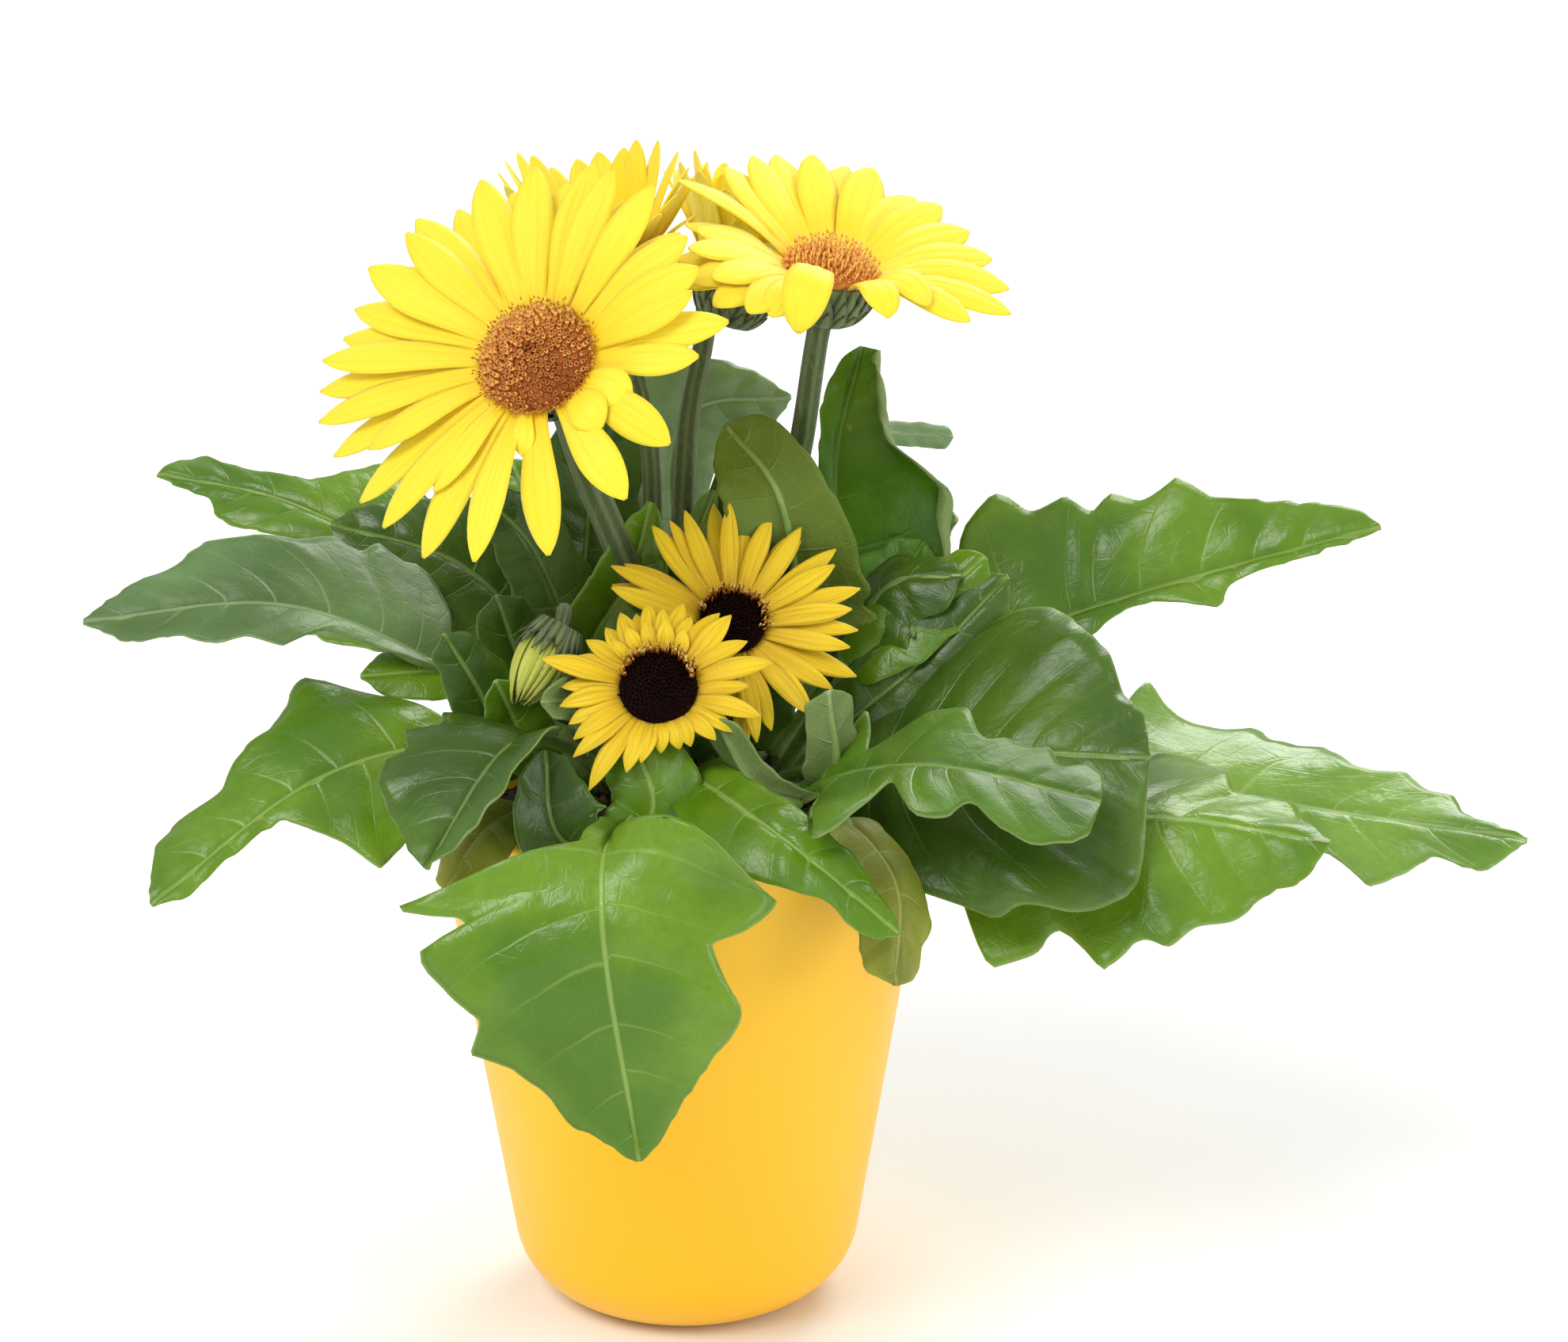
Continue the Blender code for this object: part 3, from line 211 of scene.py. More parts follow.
LEAVES = {
    "leaf_left_long": dict(
        toward=(-52, -8), via=((-56, -8, 180), (-105, -12, 204)), tip=(-161, -16, 201),
        tier=MIDDLE, tilt=(-10, 42, -25, 44), curl=-0.10, lead=2.2, quilt=0.8, top="glare_grey",
        left=((0.12, 6), (0.34, 8), (0.45, 17), (0.56, 15), (0.62, 16), (0.79, 10), (0.87, 10),
              (0.95, 4)),
        right=((0.05, 20), (0.16, 30), (0.21, 28), (0.27, 31), (0.32, 25), (0.38, 28), (0.47, 23),
               (0.66, 22), (0.75, 16), (0.88, 10))),
    "leaf_left_upper": dict(
        via=((-60, 28, 192), (-110, 46, 217)), tip=(-152, 60, 223), tier=MIDDLE, stem=0.38,
        tilt=(-10, 40, -35, 30), curl=-0.15, lead=2.0,
        left=((0.12, 9), (0.30, 14), (0.43, 9), (0.54, 12), (0.67, 13), (0.75, 12), (0.82, 5),
              (0.92, 3)),
        right=((0.10, 12), (0.25, 22), (0.42, 27), (0.50, 17), (0.60, 9), (0.76, 8), (0.89, 11),
               (0.96, 7))),
    "leaf_left_back": dict(
        via=((-42, 20, 186), (-64, 26, 206)), tip=(-99, 30, 216), tier=HIGH, stem=0.36,
        tilt=(-20, 35, -30, 40), curl=-0.10, notch=0.06, top="deep", left=(12, 24, 26, 20, 10),
        right=(10, 20, 20, 14, 7)),
    "leaf_left_lower": dict(
        toward=(-45, -30), via=((-50, -28, 169), (-92, -46, 168)), tip=(-136, -76, 142), tier=LOW,
        stem=0.30, tilt=(-35, 40, -40, 35), curl=-0.06,
        left=((0.12, 12), (0.30, 27), (0.45, 32), (0.50, 22), (0.56, 13), (0.61, 5), (0.80, 4),
              (0.91, 5)),
        right=((0.06, 9), (0.18, 22), (0.33, 36), (0.40, 28), (0.47, 22), (0.57, 20), (0.67, 15),
               (0.78, 17), (0.86, 15), (0.94, 8))),
    "leaf_front_left": dict(
        toward=(-27, -42), via=((-30, -42, 174), (-44, -64, 181)), tip=(-63, -93, 158),
        tier=MIDDLE, stem=0.42, tilt=(28, 10, 24, 10), curl=-0.06, top="deep",
        left=((0.10, 8), (0.25, 12), (0.45, 13), (0.62, 15), (0.80, 11), (0.93, 6)),
        right=((0.04, 20), (0.16, 27), (0.28, 23), (0.35, 31), (0.43, 27), (0.50, 24), (0.56, 28),
               (0.66, 26), (0.78, 20), (0.89, 11), (0.96, 6))),
    "leaf_front": dict(
        via=((-10, -56, 158), (-18, -106, 158)), tip=(-9, -113, 86), tier=LOW, stem=0.26,
        tilt=(62, 46, -4, 0), held=0.20, settled=0.38, point=0.15,
        left=((0.12, 5), (0.23, 7), (0.29, 27), (0.35, 38), (0.40, 44), (0.49, 36), (0.52, 27),
              (0.60, 29), (0.67, 32), (0.73, 29), (0.81, 21), (0.90, 12), (0.96, 6)),
        right=((0.12, 5), (0.26, 7), (0.32, 14), (0.35, 32), (0.39, 52), (0.41, 42), (0.42, 34),
               (0.48, 47), (0.55, 42), (0.63, 34), (0.70, 37), (0.75, 29), (0.84, 20), (0.89, 17),
               (0.94, 9))),
    "leaf_front_right": dict(
        toward=(12, -56), via=((3, -52, 168), (26, -84, 164)), tip=(57, -100, 143), tier=LOW,
        stem=0.12, tilt=(40, -20, 10, -35), curl=-0.10,
        left=((0.05, 12), (0.17, 9), (0.42, 9), (0.52, 11), (0.66, 10), (0.75, 11), (0.87, 7),
              (0.95, 4)),
        right=((0.06, 5), (0.30, 11), (0.46, 15), (0.56, 16), (0.66, 12), (0.74, 9), (0.82, 6),
               (0.88, 7), (0.95, 6))),
    "leaf_right_light": dict(
        toward=(40, -50), via=((38, -50, 167), (66, -70, 178)), tip=(109, -78, 171), tier=LOW,
        stem=0.20, tilt=(50, -15, 30, -35), top="soft",
        left=((0.10, 4), (0.22, 23), (0.29, 9), (0.36, 13), (0.45, 21), (0.56, 24), (0.66, 14),
              (0.71, 17), (0.79, 15), (0.83, 18), (0.89, 11), (0.94, 15), (0.99, 10)),
        right=((0.12, 3), (0.28, 14), (0.40, 39), (0.44, 30), (0.47, 9), (0.56, 23), (0.63, 19),
               (0.68, 13), (0.76, 19), (0.84, 21), (0.94, 18), (0.99, 13))),
    "leaf_right_broad": dict(
        toward=(52, -16), via=((54, -25, 161), (91, -42, 172)), tip=(124, -49, 173), tier=MIDDLE,
        stem=0.22, tilt=(35, -30, 45, -50), curl=-0.06, lead=1.4, top="deep",
        left=((0.01, 20), (0.12, 29), (0.28, 36), (0.42, 43), (0.55, 47), (0.66, 46), (0.76, 37),
              (0.84, 31), (0.91, 18), (0.97, 12)),
        right=((0.01, 26), (0.15, 32), (0.31, 38), (0.42, 41), (0.54, 45), (0.66, 43), (0.80, 44),
               (0.92, 41), (0.98, 35), (1.0, 22))),
    "leaf_right_lower": dict(
        toward=(57, -44), via=((64, -27, 144), (119, -42, 155)), tip=(172, -52, 151), tier=LOW,
        stem=0.30, tilt=(10, -50, 10, -50), curl=-0.04, lead=1.4,
        left=((0.10, 7), (0.30, 9), (0.44, 20), (0.53, 42), (0.64, 39), (0.72, 29), (0.76, 20),
              (0.82, 23), (0.90, 22), (0.94, 9)),
        right=((0.06, 17), (0.14, 40), (0.23, 37), (0.31, 31), (0.45, 44), (0.58, 35), (0.64, 37),
               (0.72, 29), (0.80, 26), (0.87, 17), (0.95, 12))),
    "leaf_far_right": dict(
        toward=(68, 14), via=((72, 14, 158), (160, 22, 138)), tip=(236, 6, 131), tier=LOW,
        stem=0.36, tilt=(32, -30, 30, -35), curl=-0.08, lead=2.0, quilt=0.8, top="fresh",
        left=((0.05, 10), (0.17, 27), (0.21, 37), (0.26, 30), (0.33, 28), (0.43, 31), (0.48, 26),
              (0.56, 27), (0.65, 18), (0.73, 20), (0.79, 14), (0.83, 14), (0.87, 6), (0.94, 3)),
        right=((0.08, 14), (0.22, 24), (0.40, 22), (0.60, 15), (0.70, 23), (0.76, 18), (0.83, 11),
               (0.91, 14), (0.96, 8))),
    "leaf_right_upper": dict(
        toward=(60, 28), via=((66, 26, 174), (128, 36, 194)), tip=(196, 38, 213), tier=MIDDLE,
        stem=0.38, tilt=(60, -10, 50, -35), curl=-0.08, lead=1.6,
        left=((0.01, 22), (0.05, 33), (0.14, 40), (0.23, 32), (0.30, 33), (0.36, 27), (0.40, 31),
              (0.48, 26), (0.56, 29), (0.63, 21), (0.73, 17), (0.87, 12), (0.96, 7)),
        right=((0.06, 12), (0.24, 9), (0.39, 4), (0.48, 7), (0.56, 13), (0.62, 5), (0.85, 3))),
    "leaf_back_right": dict(
        toward=(38, 36), via=((40, 30, 196), (43, 42, 236)), tip=(50, 56, 261), tier=HIGH,
        stem=0.40, looks=(-0.15, -1, 0.25), tilt=(5, 5, 5, 5), curl=0.02, rims=((0, 1), (11, 3.6)),
        top="shaded_backlit",
        left=((0.10, 6), (0.30, 8), (0.55, 5), (0.75, 7), (0.92, 5)),
        right=((0.03, 22), (0.12, 34), (0.25, 39), (0.42, 41), (0.52, 35), (0.62, 26), (0.75, 21),
               (0.88, 18), (0.96, 11))),
    "leaf_mid_right": dict(
        toward=(27, 0), via=((30, -3, 200), (27, -8, 233)), tip=(12, 5, 250), tier=HIGH, stem=0.38,
        looks=(0.25, 1, -0.1), tilt=(10, -30, 10, -30), curl=-0.10, lead=0.8, under="olive",
        left=((0.04, 16), (0.10, 24), (0.15, 19), (0.21, 21), (0.30, 18), (0.42, 17), (0.55, 14),
              (0.70, 12), (0.85, 11), (0.95, 7)),
        right=((0.10, 9), (0.30, 14), (0.50, 17), (0.72, 15), (0.86, 11), (0.95, 6))),
    "leaf_back_centre": dict(
        toward=(-2, 44), via=((-4, 46, 205), (0, 56, 240)), tip=(30, 66, 244), tier=HIGH,
        tilt=(20, 0, 10, -20), curl=-0.10, lead=1.5, top="pale",
        left=((0.08, 12), (0.30, 18), (0.50, 20), (0.72, 13), (0.90, 7)),
        right=((0.08, 8), (0.30, 11), (0.50, 13), (0.72, 14), (0.90, 9))),
    "leaf_mid_left": dict(
        toward=(-18, -15), via=((-25, -15, 190), (-14, -9, 211)), tip=(-8, -5, 231), tier=HIGH,
        stem=0.32, looks=(0.35, -1, 0.35), tilt=(25, 15, 10, 10), curl=0.10,
        rims=((0, 1), (5, 2.2)),
        left=((0.10, 8), (0.32, 11), (0.55, 11), (0.80, 8)),
        right=((0.10, 10), (0.32, 14), (0.55, 14), (0.80, 10))),
    "leaf_under_left": dict(
        via=((-38, -46, 158), (-50, -62, 158)), tip=(-60, -76, 146), tier=LOW, stem=0.45,
        tilt=(10, 10, -10, -10), notch=0.06, top="ageing", under="olive", left=(9, 13, 12, 7),
        right=(9, 14, 11, 6)),
    "leaf_rim_right": dict(
        toward=(42, -52), via=((42, -48, 156), (57, -64, 144)), tip=(57, -80, 121), tier=LOW,
        stem=0.42, tilt=(0, 0, -15, -25), top="ageing", under="olive", left=(7, 10, 11, 8),
        right=(10, 14, 14, 9)),
    "leaf_small_upright": dict(
        toward=(36, -25), via=((36, -34, 158), (41, -45, 167)), tip=(39, -47, 191), tier=MIDDLE,
        stem=0.35, curl=0.10, notch=0.05, both=(6, 9, 7)),
    "leaf_front_curl": dict(
        toward=(22, -36), via=((31, -46, 161), (20, -56, 169)), tip=(10, -58, 187), tier=MIDDLE,
        tilt=(10, 30, 0, 20), curl=-0.10, notch=0.15, both=(6, 9, 7)),
    "leaf_left_inner": dict(
        toward=(-30, 4), via=((-38, -6, 170), (-60, -10, 184)), tip=(-87, -14, 185), tier=HIGH,
        stem=0.52, tilt=(-20, 20, -30, 20), curl=-0.10,
        left=((0.2, 6), (0.5, 9), (0.8, 7)),
        right=((0.2, 8), (0.5, 12), (0.8, 9))),
    "leaf_right_inner": dict(
        toward=(42, 4), via=((41, 4, 184), (56, 6, 205)), tip=(76, 2, 209), tier=HIGH, stem=0.36,
        tilt=(10, -40, 10, -45), curl=-0.06, notch=0.12, top="deep", left=(7, 12, 12, 8),
        right=(10, 18, 18, 10)),
    "leaf_back_left": dict(
        via=((-40, 46, 178), (-70, 84, 196)), tip=(-98, 126, 192), tier=LOW,
        tilt=(15, 15, -10, -10), curl=-0.10, notch=0.10, left=(10, 22, 26, 24, 14),
        right=(10, 24, 28, 24, 14)),
    "leaf_back_left_low": dict(
        via=((-50, 34, 166), (-88, 62, 176)), tip=(-128, 92, 170), tier=LOW, stem=0.36,
        tilt=(10, 10, 5, 5), curl=-0.10, notch=0.14, both=(8, 16, 18, 16, 9)),
    "leaf_back": dict(
        via=((-14, 56, 170), (-26, 108, 180)), tip=(-34, 164, 158), tier=LOW,
        tilt=(15, 15, -10, -10), curl=-0.10, notch=0.12, left=(10, 24, 28, 24, 14),
        right=(10, 24, 30, 26, 14)),
    "leaf_back_middle": dict(
        via=((14, 50, 190), (24, 84, 206)), tip=(30, 132, 196), tier=MIDDLE,
        tilt=(15, 15, -10, -10), curl=-0.10, both=(10, 20, 24, 20, 12)),
    "leaf_back_right_low": dict(
        via=((34, 50, 166), (60, 98, 168)), tip=(78, 148, 146), tier=LOW, tilt=(15, 15, -12, -12),
        curl=-0.10, notch=0.12, left=(10, 22, 28, 24, 14), right=(10, 22, 28, 26, 14)),
    "leaf_back_right_wide": dict(
        via=((54, 38, 160), (92, 66, 158)), tip=(132, 96, 142), tier=LOW, tilt=(12, 8, -8, -8),
        curl=-0.10, notch=0.10, left=(10, 20, 24, 22, 12), right=(10, 18, 20, 18, 10)),
}

# Smaller leaves that fill the rosette, and the two lobes that stand up at the foot of the front
# leaf. Each has its own root, and the direction that its upper face looks in.
SMALLER = {
    "front_lobe_left": dict(
        root=(-18, -63, 150), via=((-31, -67, 158),), tip=(-34, -61, 179), stem=0.10,
        looks=(0.3, -1, 0.2), tilt=(20, 20, 10, 10), curl=0.15, notch=0, top="deep",
        left=(9, 12, 10, 5), right=(9, 15, 11, 5)),
    "front_lobe_right": dict(
        root=(-14, -66, 150), via=((-6, -67, 166),), tip=(-13, -60, 185), stem=0.06,
        looks=(-0.1, -1, 0.2), tilt=(5, -25, 0, -25), curl=-0.15, notch=0, left=(11, 11, 11, 8),
        right=(14, 15, 13, 8)),
    "tall_leaf_left": dict(
        root=(-18, 8, 154), via=((-27, 20, 187), (-26, 32, 225)), tip=(-18, 36, 260),
        looks=(0.2, -1, 0.3), tilt=(15, 15, 5, 5), top="deep", left=(9, 16, 15, 9),
        right=(9, 15, 14, 8)),
    "outer_leaf_left": dict(
        root=(-24, 4, 152), via=((-32, 10, 190), (-42, 14, 214)), tip=(-54, 12, 228), stem=0.40,
        looks=(0.2, -1, 0.5), top="deep", both=(8, 12, 11, 7)),
    "leaf_beneath_bud": dict(
        root=(-20, -14, 154), via=((-25, -32, 172), (-27, -44, 186)), tip=(-36, -55, 190),
        stem=0.42, looks=(-0.2, -0.6, 0.8), tilt=(-5, -5, -20, -20), curl=-0.10, notch=0,
        top="pale", both=(7, 9, 8, 5)),
    "low_leaf_left": dict(
        root=(-24, -10, 150), via=((-46, -30, 168), (-54, -34, 188)), tip=(-62, -36, 203),
        stem=0.36, looks=(0.3, -1, 0.4), tilt=(15, 15, 5, 5), notch=0.06, top="deep",
        left=(7, 10, 9, 6), right=(7, 11, 10, 6)),
    "low_leaf_inner": dict(
        root=(-24, -16, 149), via=((-40, -36, 172),), tip=(-48, -43, 192), stem=0.40,
        looks=(0.1, -1, 0.4), tilt=(15, 15, 5, 5), notch=0, both=(6, 9, 8, 5)),
    "leaf_beneath_right": dict(
        root=(24, 4, 156), via=((41, 12, 176), (54, 20, 192)), tip=(67, 26, 212),
        looks=(-0.1, -1, 0.3), curl=-0.04, notch=0.10, top="shaded_backlit", left=(9, 15, 17, 14, 8),
        right=(9, 14, 15, 12, 7)),
    "dark_leaf_centre": dict(
        root=(8, -10, 152), via=((16, -14, 172),), tip=(24, -14, 198), stem=0.28,
        looks=(0.1, -1, 0.4), top="deep", left=(9, 13, 12, 7), right=(10, 14, 13, 8)),
    "dark_leaf_left": dict(
        root=(-22, 0, 152), via=((-40, -8, 176),), tip=(-50, -10, 206), stem=0.30,
        looks=(0.2, -1, 0.4), top="deep", both=(9, 13, 12, 7)),
    "leaf_behind_eye": dict(
        root=(2, -8, 160), via=((-2, -6, 200), (3, -4, 218)), tip=(9, 0, 233), stem=0.42,
        looks=(-0.6, -1, 0.3), tilt=(15, 15, 10, 10), curl=0.10, notch=0, top="fresh",
        both=(4, 6, 5, 3)),
    "curled_tongue": dict(
        root=(45, 44, 240), via=((60, 52, 237),), tip=(76, 55, 235), stem=0.25,
        looks=(0.1, -1, 0.5), tilt=(-10, -10, -20, -20), curl=-0.10, notch=0.04, top="pale",
        both=(3, 4, 4, 4)),
    "inner_leaf_low": dict(
        root=(26, -8, 150), via=((48, -8, 172), (70, -4, 190)), tip=(89, 4, 208), stem=0.16,
        looks=(-0.2, -0.9, 0.5), tilt=(10, 10, 0, -20), notch=0.12, top="deep",
        both=(9, 13, 11, 6)),
    "inner_leaf_right": dict(
        root=(26, 0, 152), via=((44, -2, 180), (62, 0, 196)), tip=(83, 6, 213), stem=0.40,
        looks=(-0.2, -0.8, 0.6), tilt=(10, 10, 0, -20), both=(8, 12, 11, 7)),
    "centre_leaf_low": dict(
        root=(2, -20, 156), via=((2, -34, 172),), tip=(12, -44, 190), stem=0.36,
        looks=(0.1, -1, 0.5), notch=0.05, top="deep", both=(7, 10, 9, 6)),
    "centre_leaf_back": dict(
        root=(8, 16, 160), via=((10, 22, 196),), tip=(18, 26, 236), looks=(0.1, -1, 0.3),
        notch=0.06, top="deep", both=(8, 13, 12, 7)),
    "hind_leaf_low": dict(
        root=(2, 26, 150), via=((6, 62, 168),), tip=(8, 110, 170), looks=(0.1, 0.3, 1),
        tilt=(12, 12, -5, -5), curl=-0.08, both=(10, 16, 16, 10)),
    "hind_leaf_low_left": dict(
        root=(-22, 18, 150), via=((-52, 34, 174),), tip=(-88, 44, 182), looks=(-0.2, 0.3, 1),
        tilt=(12, 12, -5, -5), curl=-0.08, both=(9, 14, 14, 8)),
    "hind_leaf_low_right": dict(
        root=(24, 20, 150), via=((56, 42, 170),), tip=(94, 62, 166), looks=(0.2, 0.3, 1),
        tilt=(12, 12, -5, -5), curl=-0.08, both=(9, 14, 14, 8)),
    "hind_leaf_left": dict(
        root=(-14, 22, 154), via=((-30, 46, 186),), tip=(-52, 74, 224), looks=(0.4, -0.5, 0.8),
        both=(9, 16, 15, 9)),
    "hind_leaf_right": dict(
        root=(20, 18, 154), via=((46, 44, 184),), tip=(74, 72, 212), looks=(-0.4, -0.5, 0.8),
        both=(9, 16, 15, 9)),
}

# Each flower, in millimetres and degrees:
#   hub          centre of the top of its cup, where the rays and the eye sit
#   facing       the direction that it looks in
#   via          points that its stalk passes through
#   tier         where its stalk leaves the crown, with bearing
#   eye          the kind of its eye, with eye_radius and eye_height
#   open_hours   the hours between which a dark eye has open stamens
#   rise, droop  how steeply a ray leaves the hub, and how much it bends back by its tip
#   lean         how much steeper it is on the side that lean_to points at
#   cup          radius and height of the green cup under the rays
#   moved        how far the finer head stands from the solid one
#   enters       where the finer stalk enters a tilted cup, where it isn't the cup's lowest point
#   rays, rings  its rays one by one, or ring by ring
#   turned       how far rays at the sides turn to face the viewer
#   shape        how its rays narrow at either end
FLOWERS = {
    "flower_tall_left": dict(
        hub=(-36, -34, 276), facing=(-0.25, -0.76, 0.60), via=((-9, -8, 196), (-25, -9, 240)),
        tier=TOP, bearing=-130, stalk_radius=4.2, cup=(13.5, 11), eye="open", eye_radius=15.5,
        eye_height=6, rise=16, droop=20, lean=13, lean_to=(1, 0, -0.6),
        rays=TALL_LEFT_RAYS, shape=dict(point=0.58, sharp=0.72)),
    "flower_tall_back": dict(
        hub=(-20, 22, 287), facing=(-0.24, -0.04, 0.97), via=((-9, 8, 196), (-9, 14, 242)),
        tier=TOP, bearing=150, stalk_radius=2.7, cup=(9.5, 11), eye="brush", eye_radius=10.5,
        eye_height=4, rise=66, droop=20, lean=12, lean_to=(0.7, -0.2, 0),
        rays=TALL_BACK_RAYS, shape=dict(point=0.60)),
    "flower_tall_middle": dict(
        hub=(15, 53, 280), facing=(0.36, 0.10, 0.93), via=((-1, 20, 200), (1, 37, 243)),
        enters=(6, 50, 273), tier=TOP, bearing=90, stalk_radius=3.2, cup=(11, 12), eye="brush",
        eye_radius=10.5, eye_height=4, rise=58, droop=22, lean=18, lean_to=(-1, -0.3, 0),
        rings=(dict(count=18, reach=42, half=5.4, rise=4, spread=6),
               dict(count=18, reach=42, half=5.2, start=10, rise=-12, spread=7, base=-0.5))),
    "flower_tall_right": dict(
        hub=(40, -6, 294), facing=(0.18, -0.14, 0.97), via=((22, 13, 196), (32, 11, 241)),
        tier=TOP, bearing=35, stalk_radius=3.5, cup=(12, 13), eye="brush", eye_radius=13,
        eye_height=4, rise=20, droop=26, lean=9, lean_to=(0, 1, 0),
        rays=TALL_RIGHT_RAYS, turned=24, shape=dict(point=0.62, sharp=0.68)),
    "flower_low_right": dict(
        hub=(17, -27, 202), facing=(0.10, -0.78, 0.62), via=((12, -8, 174),), moved=(-3, 0, 1.5),
        tier=HIGH, bearing=-40, stalk_radius=2.6, cup=(8.5, 8), eye="dark", eye_radius=9.5,
        eye_height=3, open_hours=(-75, 110), rise=14, droop=12, lean=0, lean_to=(-1, 0, -0.8),
        rings=(dict(count=17, reach=34, half=3.0, rise=2, spread=4),
               dict(count=17, reach=34, half=2.9, start=11, rise=-6, spread=5, base=-0.4)),
        shape=dict(claw=0.66, point=0.48, sharp=0.78)),
    "flower_low_left": dict(
        hub=(-4, -52, 196), facing=(0.00, -0.74, 0.67), via=((-8, -32, 172),), moved=(-1, 0, -3),
        tier=MIDDLE, bearing=-104, stalk_radius=2.6, cup=(9, 9), eye="dark", eye_radius=11,
        eye_height=3, open_hours=(-80, 80), rise=20, droop=24, lean=16, lean_to=(0, 0, -1),
        rays=LOW_LEFT_RAYS, shape=dict(claw=0.58, point=0.45, sharp=0.85)),
}

# The closed bud nods: its base, the way that it points, its length and radius in millimetres.
BUD = dict(base=(-31, -34, 205), facing=(-0.48, -0.35, -0.82), length=22, radius=7.2,
           via=((-32, -9, 180), (-31, -22, 205)), tier=HIGH, bearing=-172, stalk_radius=2.2)


# Rules that the solids follow too

def millimetres(point):
    return Vector(point) * MM


def arc(centre, radius, start, end, steps):
    """Points of (radius, height) along an arc, its angles in degrees."""
    angles = [math.radians(start + (end - start) * k / steps) for k in range(steps + 1)]
    return [(centre[0] + radius * math.cos(a), centre[1] + radius * math.sin(a)) for a in angles]


def wall_slope():
    """The angle of the pot's wall from the vertical, in degrees."""
    return math.degrees(math.atan2(POT_RIM_RADIUS - POT_FOOT_RADIUS, POT_HEIGHT))


def foot_flat_radius():
    """Radius of the flat underside, where the rounding of the foot ends."""
    between = math.radians(90 + wall_slope())
    return POT_FOOT_RADIUS - POT_FOOT_ROUNDING / math.tan(between / 2)


def inner_radius(height):
    """Radius of the inner face of the pot's wall at a height above the foot rounding."""
    share = height / POT_HEIGHT
    return POT_FOOT_RADIUS + (POT_RIM_RADIUS - POT_FOOT_RADIUS) * share - POT_WALL


def crown_base():
    return SOIL_HEIGHT + SOIL_DOME + GAP


def on_dome(across, lift):
    """A point on the crown's dome, above the crown's base."""
    return across * (CROWN_RADIUS * math.cos(lift)) + Vector((0, 0, CROWN_HEIGHT * math.sin(lift)))


def crown_socket(bearing, tier):
    """A point just clear of the crown's dome, and the direction straight out of it there."""
    turn, lift = math.radians(bearing), math.radians(tier)
    across = Vector((math.cos(turn), math.sin(turn), 0))
    point = on_dome(across, lift)
    out = across * (math.cos(lift) / CROWN_RADIUS) + Vector((0, 0, math.sin(lift) / CROWN_HEIGHT))
    out.normalize()
    return point + Vector((0, 0, crown_base())) + out * ROOT_GAP, out


def crown_bearings():
    """The bearing of each leaf's foot: towards the leaf, then spread where stems would crowd."""
    bearings = {}
    for tier in (LOW, MIDDLE, HIGH):
        group = [name for name, leaf in LEAVES.items() if leaf["tier"] == tier]
        wanted = {}
        for name in group:
            x, y = LEAVES[name].get("toward", LEAVES[name]["via"][0][:2])
            wanted[name] = math.degrees(math.atan2(y, x))
        group.sort(key=wanted.get)
        turns = [wanted[n] for n in group]
        apart = math.degrees(STEM_SPACING / (CROWN_RADIUS * math.cos(math.radians(tier))))
        for _ in range(SPREADING_ROUNDS):
            for k in range(len(turns)):
                after = (k + 1) % len(turns)
                space = turns[after] - turns[k] + (360 if after == 0 else 0)
                push = max(apart - space, 0) / 2
                turns[k] -= push
                turns[after] += push
        bearings.update(zip(group, turns))
    return bearings


class Limb:
    """A smooth line through points, leaving the first one in a given direction."""

    def __init__(self, points, start, end=None):
        ways = [start]
        for before, after in zip(points, points[2:]):
            ways.append((after - before).normalized())
        ways.append(end if end else (points[-1] - points[-2]).normalized())
        self.points = [points[0]]
        for k in range(len(points) - 1):
            handle = (points[k + 1] - points[k]).length / 3
            first, last = points[k] + ways[k] * handle, points[k + 1] - ways[k + 1] * handle
            for j in range(1, LIMB_STEPS + 1):
                t = j / LIMB_STEPS
                self.points.append(
                    points[k] * (1 - t) ** 3 + first * 3 * t * (1 - t) ** 2
                    + last * 3 * t * t * (1 - t) + points[k + 1] * t ** 3)
        self.along = [0.0]
        for a, b in zip(self.points, self.points[1:]):
            self.along.append(self.along[-1] + (b - a).length)
        self.length = self.along[-1]
        self.ways = self._ways()
        self.sides = self._sides(start)

    def _ways(self):
        last = len(self.points) - 1
        return [
            (self.points[min(k + 1, last)] - self.points[max(k - 1, 0)]).normalized()
            for k in range(last + 1)
        ]

    def _sides(self, start):
        """The direction of the left side at each point, level at the root and never twisting."""
        side = Vector((0, 0, 1)).cross(start).normalized()
        sides = []
        for way in self.ways:
            side = (side - way * side.dot(way)).normalized()
            sides.append(side)
        return sides

    def at(self, share):
        """Point, direction and left side at a share of the length."""
        target = share * self.length
        k = 0
        while k < len(self.along) - 2 and self.along[k + 1] < target:
            k += 1
        t = (target - self.along[k]) / (self.along[k + 1] - self.along[k])
        way = self.ways[k].lerp(self.ways[k + 1], t).normalized()
        side = self.sides[k].lerp(self.sides[k + 1], t)
        side = (side - way * side.dot(way)).normalized()
        return self.points[k].lerp(self.points[k + 1], t), way, side


def lobe_places(count):
    """Where the lobes are, as shares of the blade's length."""
    return [FIRST_LOBE + (LAST_LOBE - FIRST_LOBE) * k / (count - 1) for k in range(count)]


def leaf_limb(leaf, bearing):
    root, out = crown_socket(bearing, leaf["tier"])
    points = [root, *(millimetres(p) for p in leaf["via"]), millimetres(leaf["tip"])]
    return Limb(points, out)


def hub_radius(flower):
    return flower["eye_radius"] * MM + HUB_MARGIN


# Making pieces

